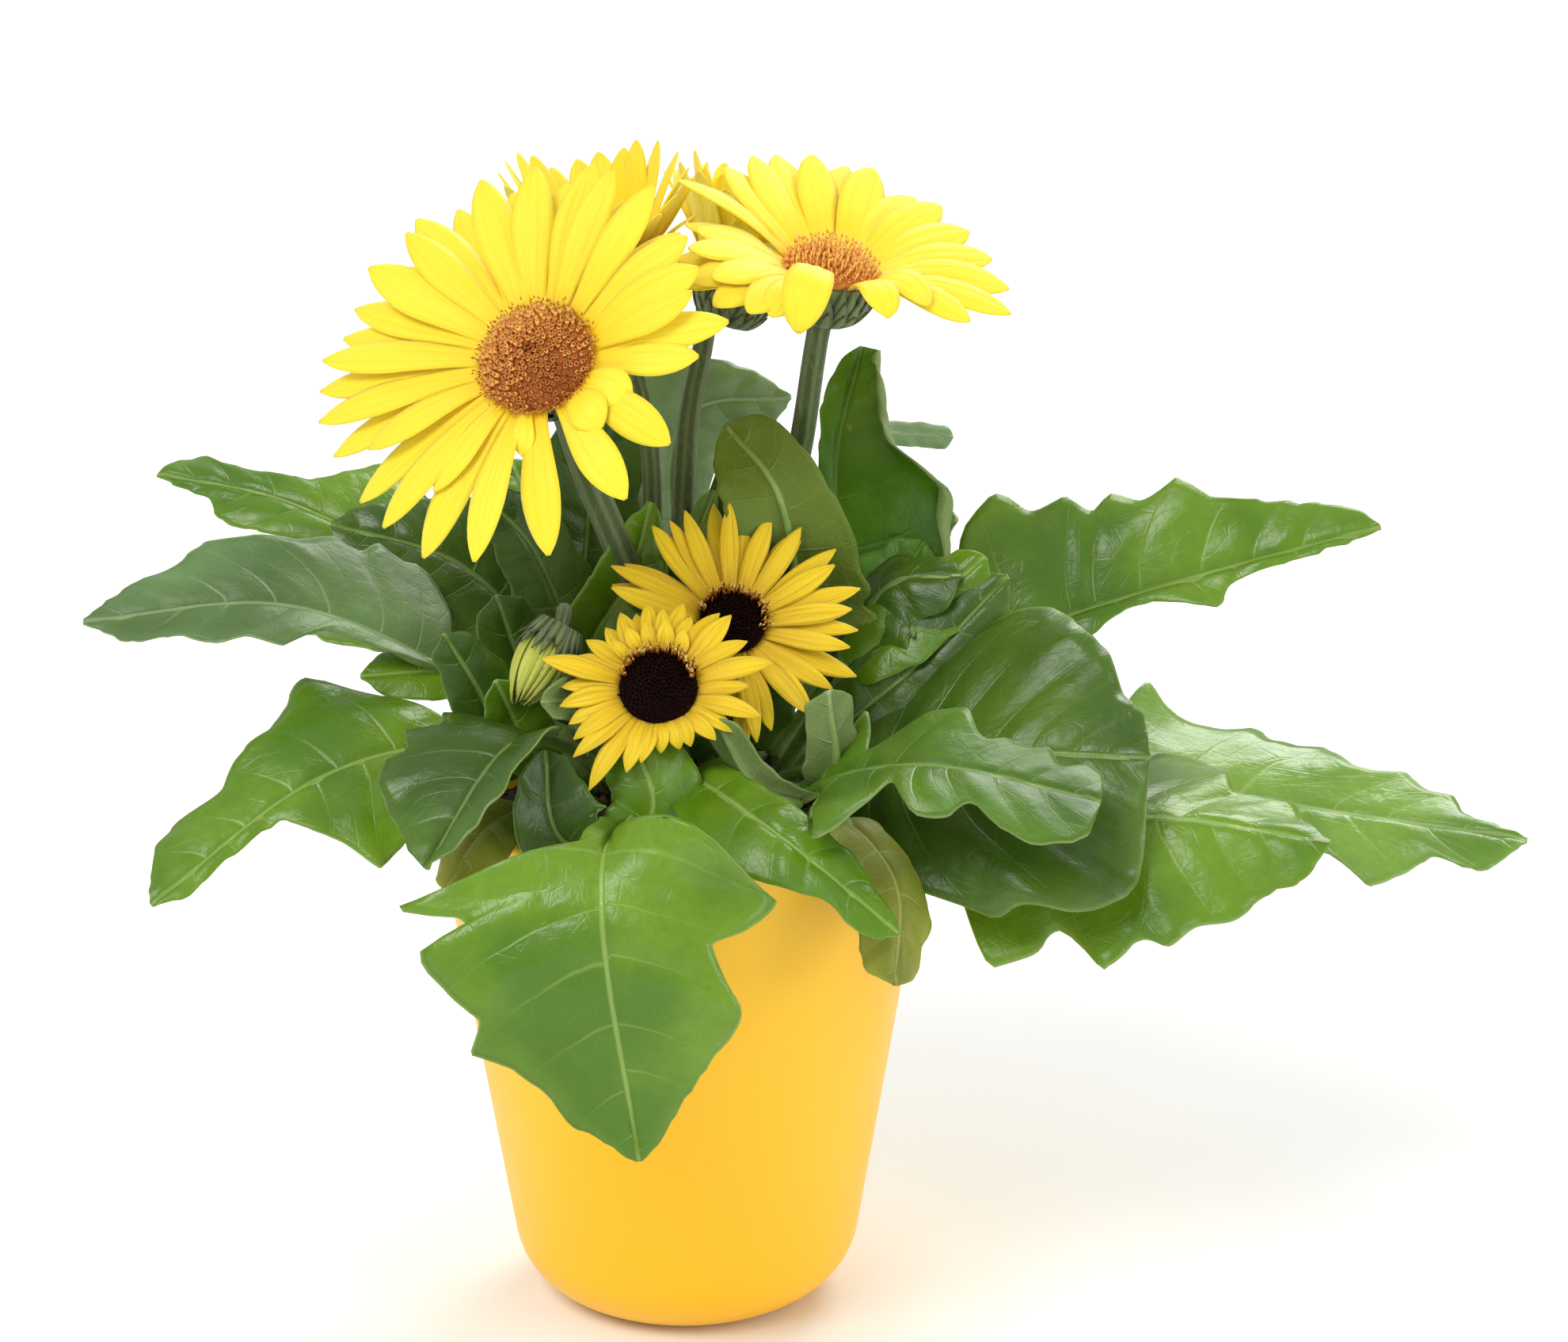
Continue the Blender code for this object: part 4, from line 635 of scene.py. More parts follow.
def new_piece(name, bm, materials, slot, *nodes):
    """A mesh piece that rides with the plant and stands for the named solids."""
    for face in bm.faces:
        face.smooth = True
    mesh = bpy.data.meshes.new(name)
    bm.to_mesh(mesh)
    bm.free()
    for material in materials:
        mesh.materials.append(material)
    piece = bpy.data.objects.new(name, mesh)
    bpy.context.scene.collection.objects.link(piece)
    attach(piece, "root")
    if nodes:
        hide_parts(*nodes)


def float_layers(bm, *words):
    """Numbers kept at the corners of a mesh, for its finish to read."""
    return [bm.verts.layers.float.new(word) for word in words]


def note(corner, layers, *values):
    for layer, value in zip(layers, values):
        corner[layer] = value


def spun(profile, steps, place=Matrix()):
    """A closed solid of revolution from a profile of (radius, height), put in its place."""
    bm = bmesh.new()
    line = [bm.verts.new((radius, 0, height)) for radius, height in profile]
    sides = [bm.edges.new(pair) for pair in zip(line, line[1:])]
    bmesh.ops.spin(bm, geom=line + sides, axis=(0, 0, 1), cent=(0, 0, 0), steps=steps,
                   angle=2 * math.pi, use_merge=True)
    bmesh.ops.remove_doubles(bm, verts=bm.verts, dist=0.00001)
    bmesh.ops.recalc_face_normals(bm, faces=bm.faces)
    bmesh.ops.transform(bm, matrix=place, verts=bm.verts)
    return bm


def grown_tube(bm, steps, sides, place, finish=0):
    """A closed tube in an empty mesh: place(corner, ring, angle) says where each corner goes."""
    bmesh.ops.create_cone(bm, cap_ends=True, segments=sides, radius1=1, radius2=1, depth=2)
    long = [e for e in bm.edges if abs(e.verts[0].co.z - e.verts[1].co.z) > 1]
    bmesh.ops.subdivide_edges(bm, edges=long, cuts=steps - 1)
    for corner in bm.verts:
        ring = round((corner.co.z + 1) / 2 * steps)
        corner.co = place(corner, ring, math.atan2(corner.co.y, corner.co.x))
    for face in bm.faces:
        face.material_index = finish


def grown_sheet(bm, rows, columns, place, thickness, under=1, over=0):
    """A closed thin sheet: place(corner, row, column) puts each corner of its upper face."""
    corners = bmesh.ops.create_grid(bm, x_segments=rows, y_segments=columns, size=1.0)["verts"]
    for corner in corners:
        row = round((corner.co.x + 1) / 2 * rows)
        column = round((corner.co.y + 1) / 2 * columns)
        corner.co = place(corner, row, column)
    faces = {face for corner in corners for face in corner.link_faces}
    for face in faces:
        face.material_index = over
    bmesh.ops.extrude_face_region(bm, geom=list(faces), use_keep_orig=True)
    for face in faces:
        face.normal_update()
    for corner in corners:
        corner.normal_update()
    for corner in corners:
        corner.co += corner.normal * thickness
    for face in {face for corner in corners for face in corner.link_faces}:
        face.material_index = under


def scattered(rng, spread):
    return rng.uniform(-spread, spread)


def near(rng, way, spread):
    """A direction a little off the given one."""
    return (way + Vector([scattered(rng, spread) for _ in range(3)])).normalized()


def ease(low, high, value):
    """0 below low, 1 above high and smooth between."""
    t = min(max((value - low) / (high - low), 0.0), 1.0)
    return t * t * (3 - 2 * t)


# Finishes

def paint(red, green, blue):
    """A colour from its 8-bit parts, as the shaders take it."""
    parts = [part / 255 for part in (red, green, blue)]
    return (*(p / 12.92 if p <= 0.04045 else ((p + 0.055) / 1.055) ** 2.4 for p in parts), 1.0)


class Wiring:
    """Short calls to wire up the nodes of a material or of a node group."""

    def __init__(self, tree):
        self.tree = tree

    def feed(self, socket, value):
        if isinstance(value, bpy.types.NodeSocket):
            self.tree.links.new(value, socket)
        else:
            socket.default_value = value

    def add(self, kind, inputs=(), **settings):
        made = self.tree.nodes.new(kind)
        for name, value in settings.items():
            setattr(made, name, value)
        for name, value in dict(inputs).items():
            self.feed(made.inputs[name], value)
        return made

    def math(self, operation, *values):
        return self.add("ShaderNodeMath", dict(enumerate(values)), operation=operation).outputs[0]

    def mix(self, share, first, second):
        inputs = {0: share, 6: first, 7: second}
        return self.add("ShaderNodeMix", inputs, data_type="RGBA").outputs[2]

    def spread(self, value, low, high, to_low=0.0, to_high=1.0):
        inputs = {0: value, 1: low, 2: high, 3: to_low, 4: to_high}
        kind = dict(interpolation_type="SMOOTHSTEP")
        return self.add("ShaderNodeMapRange", inputs, **kind).outputs[0]

    def attribute(self, name):
        return self.add("ShaderNodeAttribute", attribute_name=name).outputs["Fac"]

    def place(self):
        return self.add("ShaderNodeTexCoord").outputs["Object"]

    def point(self, *parts):
        return self.add("ShaderNodeCombineXYZ", dict(enumerate(parts))).outputs[0]

    def noise(self, scale, vector=None, detail=2.0, roughness=0.5):
        inputs = {"Vector": vector or self.place(), "Scale": scale, "Detail": detail,
                  "Roughness": roughness}
        return self.add("ShaderNodeTexNoise", inputs).outputs["Fac"]

    def dress(self, colour, rough, height=None, distance=0.0, strength=1.0):
        """Feed the shader what changes over the surface: colour, roughness and relief."""
        shader = self.tree.nodes["Principled BSDF"]
        self.feed(shader.inputs["Base Color"], colour)
        self.feed(shader.inputs["Roughness"], rough)
        if height is not None:
            relief = {"Height": height, "Distance": distance, "Strength": strength}
            self.feed(shader.inputs["Normal"], self.add("ShaderNodeBump", relief).outputs["Normal"])


def new_group(name, takes, gives):
    """A node group with named number inputs and outputs, and the wiring inside it."""
    group = bpy.data.node_groups.new(name, "ShaderNodeTree")
    for word in takes:
        group.interface.new_socket(name=word, in_out="INPUT", socket_type="NodeSocketFloat")
    for word in gives:
        group.interface.new_socket(name=word, in_out="OUTPUT", socket_type="NodeSocketFloat")
    wiring = Wiring(group)
    return group, wiring, wiring.add("NodeGroupInput").outputs, wiring.add("NodeGroupOutput").inputs


def vein_group():
    """Where the veins of a leaf run: the main ones, the fine net, and the relief of both."""
    group, wire, takes, gives = new_group("leaf veins", ("Vein", "Span", "Reach"),
                                          ("Main", "Net", "Relief"))
    wander = wire.math("MULTIPLY_ADD", wire.noise(70.0), 0.12, -0.06)
    vein = wire.math("ADD", takes["Vein"], wander)
    apart = wire.math("PINGPONG", vein, 0.5)
    half = wire.spread(takes["Span"], 0.0, 1.0, 0.042, 0.014)
    side = wire.math("SUBTRACT", 1.0, wire.math("MINIMUM", wire.math("DIVIDE", apart, half), 1.0))
    side = wire.math("MULTIPLY", side, wire.spread(takes["Span"], 0.10, 0.90, 0.62, 0.15))
    midrib = wire.spread(takes["Reach"], 0.25, 0.95, 1.0, 0.0)
    main = wire.math("MAXIMUM", side, midrib)
    nets = []
    for across, outward, width in ((1.7, 0.14, 0.055), (4.2, 0.36, 0.085)):
        spot = wire.point(wire.math("MULTIPLY", vein, across),
                          wire.math("MULTIPLY", takes["Reach"], outward), 0.0)
        cells = wire.add("ShaderNodeTexVoronoi", {"Vector": spot, "Scale": 1.0},
                         feature="DISTANCE_TO_EDGE", voronoi_dimensions="2D").outputs["Distance"]
        nets.append(wire.spread(cells, 0.0, width, 1.0, 0.0))
    net = wire.math("MAXIMUM", nets[0], wire.math("MULTIPLY", nets[1], 0.6))
    relief = wire.math("ADD", wire.math("MULTIPLY", main, 0.7), wire.math("MULTIPLY", net, 0.10))
    for word, value in (("Main", main), ("Net", net), ("Relief", relief)):
        wire.feed(gives[word], value)
    return group


def streak_group():
    """Fine lines that run along a petal or a bract, and the shade of its two grooves."""
    group, wire, takes, gives = new_group("petal streaks", ("Along", "Aside", "Tone"),
                                          ("Lines", "Grooves"))
    spot = wire.point(wire.math("MULTIPLY", takes["Aside"], 7.0),
                      wire.math("MULTIPLY", takes["Along"], 0.9),
                      wire.math("MULTIPLY", takes["Tone"], 20.0))
    lines = wire.noise(1.0, spot, detail=3.0, roughness=0.6)
    off = wire.math("ABSOLUTE", wire.math("SUBTRACT", wire.math("ABSOLUTE", takes["Aside"]), 0.36))
    groove = wire.spread(off, 0.0, 0.20, 1.0, 0.0)
    wire.feed(gives["Lines"], lines)
    wire.feed(gives["Grooves"], groove)
    return group


def new_finish(name, **settings):
    """A material and its wiring, with the even values set on its shader."""
    material = bpy.data.materials.new(name)
    material.use_nodes = True
    shader = material.node_tree.nodes["Principled BSDF"]
    for word, value in settings.items():
        shader.inputs[word.replace("_", " ")].default_value = value
    return material, Wiring(material.node_tree)


def veins_in(wire):
    inputs = {word.capitalize(): wire.attribute(word) for word in ("vein", "span", "reach")}
    group = wire.add("ShaderNodeGroup", node_tree=GROUPS["veins"])
    for word, value in inputs.items():
        wire.feed(group.inputs[word], value)
    return group.outputs


def streaks_in(wire):
    group = wire.add("ShaderNodeGroup", node_tree=GROUPS["streaks"])
    for word in ("along", "aside", "tone"):
        wire.feed(group.inputs[word.capitalize()], wire.attribute(word))
    return group.outputs


def leaf_upper(name, deep, fresh, vein, rough):
    """The glossy upper side of a leaf: mottled green, paler veins sunk into it, and a painted
    highlight along its rim.
    """
    material, wire = new_finish(name, Specular_IOR_Level=0.42)
    veins = veins_in(wire)
    patches = wire.spread(wire.noise(24.0, detail=3.0), 0.35, 0.68)
    colour = wire.mix(patches, deep, fresh)
    fine = wire.spread(wire.noise(420.0), 0.3, 0.7, 0.0, 0.22)
    colour = wire.mix(fine, colour, deep)
    margin = wire.spread(wire.attribute("span"), 0.70, 1.0, 0.0, 0.30)
    colour = wire.mix(margin, colour, fresh)
    colour = wire.mix(wire.math("MULTIPLY", veins["Net"], 0.03), colour, vein)
    colour = wire.mix(wire.math("MULTIPLY", veins["Main"], 0.48), colour, vein)
    # Painted highlight: a pale line along the very rim, where the margin catches the light.
    edge = wire.spread(wire.attribute("span"), 0.975, 0.998, 0.0, 0.40)
    colour = wire.mix(edge, colour, vein)
    gloss = wire.spread(wire.noise(60.0), 0.3, 0.7, rough - 0.05, rough + 0.08)
    sunk = wire.math("MULTIPLY", veins["Relief"], -0.8)
    grain = wire.math("MULTIPLY_ADD", wire.noise(600.0), 0.16, sunk)
    grain = wire.math("MULTIPLY_ADD", wire.noise(110.0), 1.2, grain)
    wire.dress(colour, gloss, grain, 0.0008, 0.6)
    return material


def leaf_under(name, colour, vein, rough):
    """The matt and paler underside of a leaf, its veins raised."""
    material, wire = new_finish(name, Specular_IOR_Level=0.35)
    veins = veins_in(wire)
    patches = wire.spread(wire.noise(30.0, detail=3.0), 0.3, 0.7, 0.0, 0.5)
    dark = tuple(part * 0.6 for part in colour[:3]) + (1.0,)
    base = wire.mix(patches, colour, dark)
    base = wire.mix(wire.math("MULTIPLY", veins["Net"], 0.08), base, vein)
    base = wire.mix(wire.math("MULTIPLY", veins["Main"], 0.75), base, vein)
    matt = wire.spread(wire.noise(80.0), 0.3, 0.7, rough - 0.04, rough + 0.06)
    height = wire.math("MULTIPLY_ADD", wire.noise(900.0), 0.25, veins["Relief"])
    wire.dress(base, matt, height, 0.0009, 0.8)
    return material


def petal_finish(name, bright, golden, line, rough, lined):
    """A ray: bright towards its tip, golden at its foot and in its grooves, with fine lines."""
    material, wire = new_finish(name, Specular_IOR_Level=0.3, Sheen_Weight=0.15,
                                Sheen_Roughness=0.5)
    streaks = streaks_in(wire)
    foot = wire.spread(wire.attribute("along"), 0.05, 0.75, 0.55, 0.0)
    colour = wire.mix(foot, bright, golden)
    colour = wire.mix(wire.math("MULTIPLY", streaks["Grooves"], 0.12), colour, golden)
    shade = wire.spread(wire.attribute("tone"), -0.6, 0.6, 0.0, 0.25)
    colour = wire.mix(shade, colour, golden)
    fine = wire.spread(streaks["Lines"], 0.48, 0.70, 0.0, lined)
    colour = wire.mix(fine, colour, line)
    soft = wire.spread(streaks["Lines"], 0.3, 0.7, rough - 0.06, rough + 0.08)
    height = wire.math("MULTIPLY_ADD", streaks["Grooves"], -0.5, streaks["Lines"])
    wire.dress(colour, soft, height, 0.00025, 0.7)
    return material


def shaded_finish(name, stops, rough, grain, shine):
    """Florets and stamens: a shade from dark foot to pale tip through the colours given."""
    material, wire = new_finish(name, Specular_IOR_Level=shine)
    jitter = wire.math("MULTIPLY_ADD", wire.noise(grain), 0.24, -0.12)
    shade = wire.math("ADD", wire.attribute("shade"), jitter)
    ramp = wire.add("ShaderNodeValToRGB", {"Fac": shade})
    elements = ramp.color_ramp.elements
    stops = [(position, paint(*colour)) for position, colour in stops]
    elements[0].position, elements[0].color = stops[0]
    elements[1].position, elements[1].color = stops[-1]
    for position, colour in stops[1:-1]:
        elements.new(position).color = colour
    dry = wire.spread(wire.noise(grain * 2), 0.3, 0.7, rough - 0.1, rough + 0.1)
    wire.dress(ramp.outputs["Color"], dry, wire.noise(grain * 3), 0.0002, 0.6)
    return material


def glaze_finish():
    """The pot's satin golden yellow glaze, a little deeper towards the foot."""
    material, wire = new_finish("golden glaze", Specular_IOR_Level=0.5, Coat_Roughness=0.25)
    height = wire.add("ShaderNodeSeparateXYZ", {0: wire.place()}).outputs[2]
    low = wire.spread(height, 0.0, POT_HEIGHT, 0.55, 0.0)
    mottle = wire.spread(wire.noise(9.0, detail=3.0), 0.3, 0.7, 0.0, 0.35)
    colour = wire.mix(wire.math("MAXIMUM", low, mottle), paint(255, 198, 16), paint(255, 190, 4))
    satin = wire.spread(wire.noise(35.0), 0.3, 0.7, 0.34, 0.44)
    ripple = wire.math("MULTIPLY_ADD", wire.noise(26.0), 1.0, wire.noise(800.0))
    wire.dress(colour, satin, ripple, 0.0002, 0.35)
    return material


def soil_finish():
    material, wire = new_finish("dark compost", Specular_IOR_Level=0.3)
    clods = wire.spread(wire.noise(160.0, detail=5.0, roughness=0.7), 0.35, 0.7)
    colour = wire.mix(clods, paint(26, 19, 12), paint(70, 52, 34))
    specks = wire.spread(wire.noise(1300.0), 0.66, 0.74)
    colour = wire.mix(specks, colour, paint(150, 126, 92))
    crumbly = wire.noise(420.0, detail=6.0, roughness=0.7)
    wire.dress(colour, wire.spread(clods, 0.0, 1.0, 0.75, 0.98), crumbly, 0.002, 0.9)
    return material


def crown_finish():
    material, wire = new_finish("old stem bases", Specular_IOR_Level=0.3)
    patches = wire.spread(wire.noise(110.0, detail=4.0), 0.35, 0.68)
    colour = wire.mix(patches, paint(52, 58, 26), paint(96, 84, 48))
    rough = wire.spread(patches, 0.0, 1.0, 0.65, 0.9)
    wire.dress(colour, rough, wire.noise(500.0, detail=4.0), 0.001, 0.8)
    return material


def stalk_finish():
    """A dull green stalk with a painted highlight along its ribs and painted shade between them, and
    a bloom of fine hair.
    """
    material, wire = new_finish("hairy stalk", Specular_IOR_Level=0.35, Sheen_Weight=0.35,
                                Sheen_Roughness=0.4)
    # Painted light: the ribs are lighter as a highlight and the grooves between them darker as
    # shade.
    rib = wire.spread(wire.attribute("rib"), -0.4, 0.9)
    stretch = wire.add("ShaderNodeMapping", {"Vector": wire.place(), "Scale": (1.0, 1.0, 0.12)})
    fibres = wire.noise(900.0, stretch.outputs[0], detail=3.0)
    colour = wire.mix(rib, paint(70, 86, 46), paint(100, 116, 70))
    colour = wire.mix(wire.spread(fibres, 0.45, 0.75, 0.0, 0.30), colour, paint(132, 146, 102))
    wire.dress(colour, wire.spread(fibres, 0.3, 0.7, 0.5, 0.7), fibres, 0.0005, 0.7)
    return material


def stem_finish():
    """The stem and midrib of a leaf, pale green and finely lined."""
    material, wire = new_finish("leaf stem", Specular_IOR_Level=0.4)
    patches = wire.spread(wire.noise(70.0, detail=3.0), 0.3, 0.7)
    colour = wire.mix(patches, paint(104, 136, 62), paint(140, 165, 88))
    rough = wire.spread(patches, 0.0, 1.0, 0.42, 0.55)
    wire.dress(colour, rough, wire.noise(800.0, detail=3.0), 0.0004, 0.6)
    return material


def cup_finish():
    """Narrow bracts: grey-green, paler along the middle and dark between."""
    material, wire = new_finish("cup bracts", Specular_IOR_Level=0.3, Sheen_Weight=0.3,
                                Sheen_Roughness=0.4)
    lines = streaks_in(wire)["Lines"]
    middle = wire.spread(wire.math("ABSOLUTE", wire.attribute("aside")), 0.25, 0.95, 1.0, 0.0)
    colour = wire.mix(middle, paint(56, 70, 38), paint(108, 124, 74))
    colour = wire.mix(wire.spread(lines, 0.45, 0.72, 0.0, 0.5), colour, paint(146, 158, 116))
    tip = wire.spread(wire.attribute("along"), 0.82, 1.0, 0.0, 0.6)
    colour = wire.mix(tip, colour, paint(70, 62, 36))
    wire.dress(colour, wire.spread(lines, 0.3, 0.7, 0.55, 0.75), lines, 0.0005, 0.7)
    return material


# Leaf tops, and undersides with their names: the greens, the colour of the veins, the roughness.
LEAF_TOPS = {
    "deep": ((52, 84, 14), (80, 114, 26), (140, 168, 86), 0.32),
    "green": ((74, 114, 10), (108, 146, 28), (164, 192, 96), 0.28),
    # shaded_backlit: a deeper, more saturated copy of the leaf green, painted shade with light
    # shining through the leaf.
    "shaded_backlit": ((70, 118, 16), (98, 150, 34), (126, 160, 80), 0.34),
    "soft": ((58, 94, 8), (84, 122, 20), (150, 180, 92), 0.42),
    # glare_grey: the leaf green greyed by a painted glare of light over the whole leaf.
    "glare_grey": ((72, 102, 46), (100, 132, 76), (164, 186, 136), 0.44),
    # pale: the leaf green whitened by a painted sheen of glossy light.
    "pale": ((112, 144, 92), (146, 176, 126), (186, 206, 164), 0.44),
    "fresh": ((88, 126, 34), (122, 158, 60), (180, 204, 130), 0.28),
    "ageing": ((112, 124, 24), (158, 160, 52), (190, 192, 110), 0.46),
}
LEAF_UNDERS = {
    "plain": ("leaf underside", (126, 150, 84), (170, 188, 136), 0.58),
    "olive": ("leaf underside olive", (98, 120, 34), (146, 168, 82), 0.55),
}

# Rays: name, bright and golden yellow, the colour of the fine lines, the roughness, and how strong
# the lines are.
PETALS = {
    "petal": ("lemon ray", (249, 230, 52), (252, 208, 12), (248, 206, 16), 0.50, 0.30),
    # The lemon underside keeps its own yellow, brightened as a painted glow of light shining through
    # the ray.
    "petal_under": ("lemon ray underside", (254, 234, 56), (250, 208, 20), (236, 200, 40),
                    0.55, 0.14),
    "young_petal": ("golden ray", (242, 208, 26), (214, 164, 6), (150, 116, 16), 0.50, 0.45),
    "young_petal_under": ("golden ray underside", (216, 180, 36), (190, 144, 16),
                          (150, 140, 40), 0.55, 0.40),
    "bud": ("bud ray", (216, 220, 100), (150, 160, 40), (96, 112, 20), 0.55, 0.14),
}

# Florets and stamens from their dark foot to their pale tip.
TAN_STOPS = ((0.0, (80, 28, 12)), (0.14, (140, 70, 26)), (0.34, (212, 132, 52)),
             (0.60, (246, 180, 88)), (0.80, (250, 208, 112)), (1.0, (255, 226, 96)))
MAROON_STOPS = ((0.0, (20, 5, 3)), (0.16, (44, 14, 9)), (0.34, (116, 50, 18)),
                (0.55, (190, 110, 34)), (0.80, (238, 206, 110)), (1.0, (250, 236, 170)))
FLORET_GRAIN = 700.0


def make_finishes():
    """Every finish by name."""
    finishes = {
        "glaze": glaze_finish(),
        "soil": soil_finish(),
        "crown": crown_finish(),
        "leaf_stem": stem_finish(),
        "stalk": stalk_finish(),
        "cup": cup_finish(),
        "eye": shaded_finish("tan florets", TAN_STOPS, 0.6, FLORET_GRAIN, 0.3),
        "dark_eye": shaded_finish("maroon florets", MAROON_STOPS, 0.7, FLORET_GRAIN, 0.06),
    }
    for word, (*colours, rough) in LEAF_TOPS.items():
        name = "leaf top " + word
        finishes["top_" + word] = leaf_upper(name, *(paint(*c) for c in colours), rough)
    for word, (name, *colours, rough) in LEAF_UNDERS.items():
        finishes["under_" + word] = leaf_under(name, *(paint(*c) for c in colours), rough)
    for word, (name, *colours, rough, lined) in PETALS.items():
        finishes[word] = petal_finish(name, *(paint(*c) for c in colours), rough, lined)
    return finishes


GROUPS = {"veins": vein_group(), "streaks": streak_group()}
FINISHES = make_finishes()


# Leaves

class Course:
    """A smooth line through values at given feet, which may come to a point where it is highest."""

    def __init__(self, feet, values, point=0.0):
        self.feet, self.values = feet, values
        rises = [(b - a) / (g - f) for a, b, f, g in zip(values, values[1:], feet, feet[1:])]
        self.arriving, self.leaving = [rises[0]], [rises[0]]
        for before, after in zip(rises, rises[1:]):
            if before * after > 0:
                slopes = [2 * before * after / (before + after)] * 2
            elif before > 0:
                slopes = before * point, after * point
            else:
                slopes = 0.0, 0.0
            self.arriving.append(slopes[0])
            self.leaving.append(slopes[1])
        self.arriving.append(rises[-1])
        self.leaving.append(rises[-1])

    def at(self, foot):
        k = min(max(bisect.bisect_right(self.feet, foot) - 1, 0), len(self.feet) - 2)
        span = self.feet[k + 1] - self.feet[k]
        x = (foot - self.feet[k]) / span
        return (self.values[k] * (2 * x ** 3 - 3 * x ** 2 + 1)
                + self.leaving[k] * span * (x ** 3 - 2 * x ** 2 + x)
                + self.values[k + 1] * (3 * x ** 2 - 2 * x ** 3)
                + self.arriving[k + 1] * span * (x ** 3 - x ** 2))


def rule_margin(widths, notch):
    """Corners of a margin with a lobe at each width and a notch between, as the solids have it."""
    places = lobe_places(len(widths))
    corners = []
    for k, (place, width) in enumerate(zip(places, widths)):
        if k and notch > 0.03:
            between = (places[k - 1] + place) / 2
            corners.append((between, (widths[k - 1] + width) / 2 * (1 - notch)))
        corners.append((place, width))
    return corners


class Margin:
    """One side of a blade: where its margin runs, and how its side veins are counted."""

    def __init__(self, corners, blade, point, lead):
        corners = [(0.0, LEAF_STEM_HALF_WIDTH / MM), *corners, (1.0, LEAF_TIP_HALF_WIDTH / MM)]
        walk, back = [0.0], [0.0]
        for (s, w), (next_s, next_w) in zip(corners, corners[1:]):
            walk.append(walk[-1] + math.hypot((next_s - s) * blade, (next_w - w) * MM))
            sweep = lead * next_s ** 0.7 * next_w * MM / blade
            back.append(max(back[-1], next_s - sweep))
        feet = [VEIN_SHIFT * b / back[-1] + (1 - VEIN_SHIFT) * w / walk[-1]
                for b, w in zip(back, walk)]
        widths = [w * MM for _, w in corners]
        self.along = Course(feet, [s for s, _ in corners])
        self.width = Course(feet, widths, point)
        self.veins = self.count_veins(feet, widths, blade)

    @staticmethod
    def count_veins(feet, widths, blade):
        """A count along the midrib that reaches a whole number wherever a vein ends in a lobe."""
        marks, numbers = [0.0], [0.0]
        spacing = max(VEIN_SPACING, VEIN_SHARE * blade)
        for k in range(1, len(feet) - 1):
            more = (feet[k] - marks[-1]) * blade / spacing
            if widths[k - 1] < widths[k] >= widths[k + 1] and more > 0.45:
                marks.append(feet[k])
                numbers.append(numbers[-1] + max(1, round(more)))
        numbers.append(numbers[-1] + max((1 - marks[-1]) * blade / spacing, 0.5))
        marks.append(1.0)
        return Course(marks, numbers)


def leaf_frames(limb, leaf, shares):
    """Point, direction, left side and face of the midrib at each share of its length."""
    frames = []
    for share in shares:
        centre, way, side = limb.at(share)
        roll = math.radians(leaf.get("roll", 0)) * min(share / max(leaf["stem"], 0.01), 1.0)
        side = side * math.cos(roll) + way.cross(side) * math.sin(roll)
        frames.append((centre, way, side, way.cross(side)))
    return frames


def between_frames(frames, t):
    """The frame at a share of the blade, from those at even steps along it."""
    place = min(max(t, 0.0), 1.0) * (len(frames) - 1)
    k = min(int(place), len(frames) - 2)
    return [a.lerp(b, place - k) for a, b in zip(frames[k], frames[k + 1])]


def rolled(reach, edge, radius):
    """A place across a half blade whose margin rolls up beyond an edge: outward, and lift."""
    if reach <= edge:
        return reach, 0.0
    turn = (reach - edge) / radius
    return edge + radius * math.sin(turn), radius * (1 - math.cos(turn))


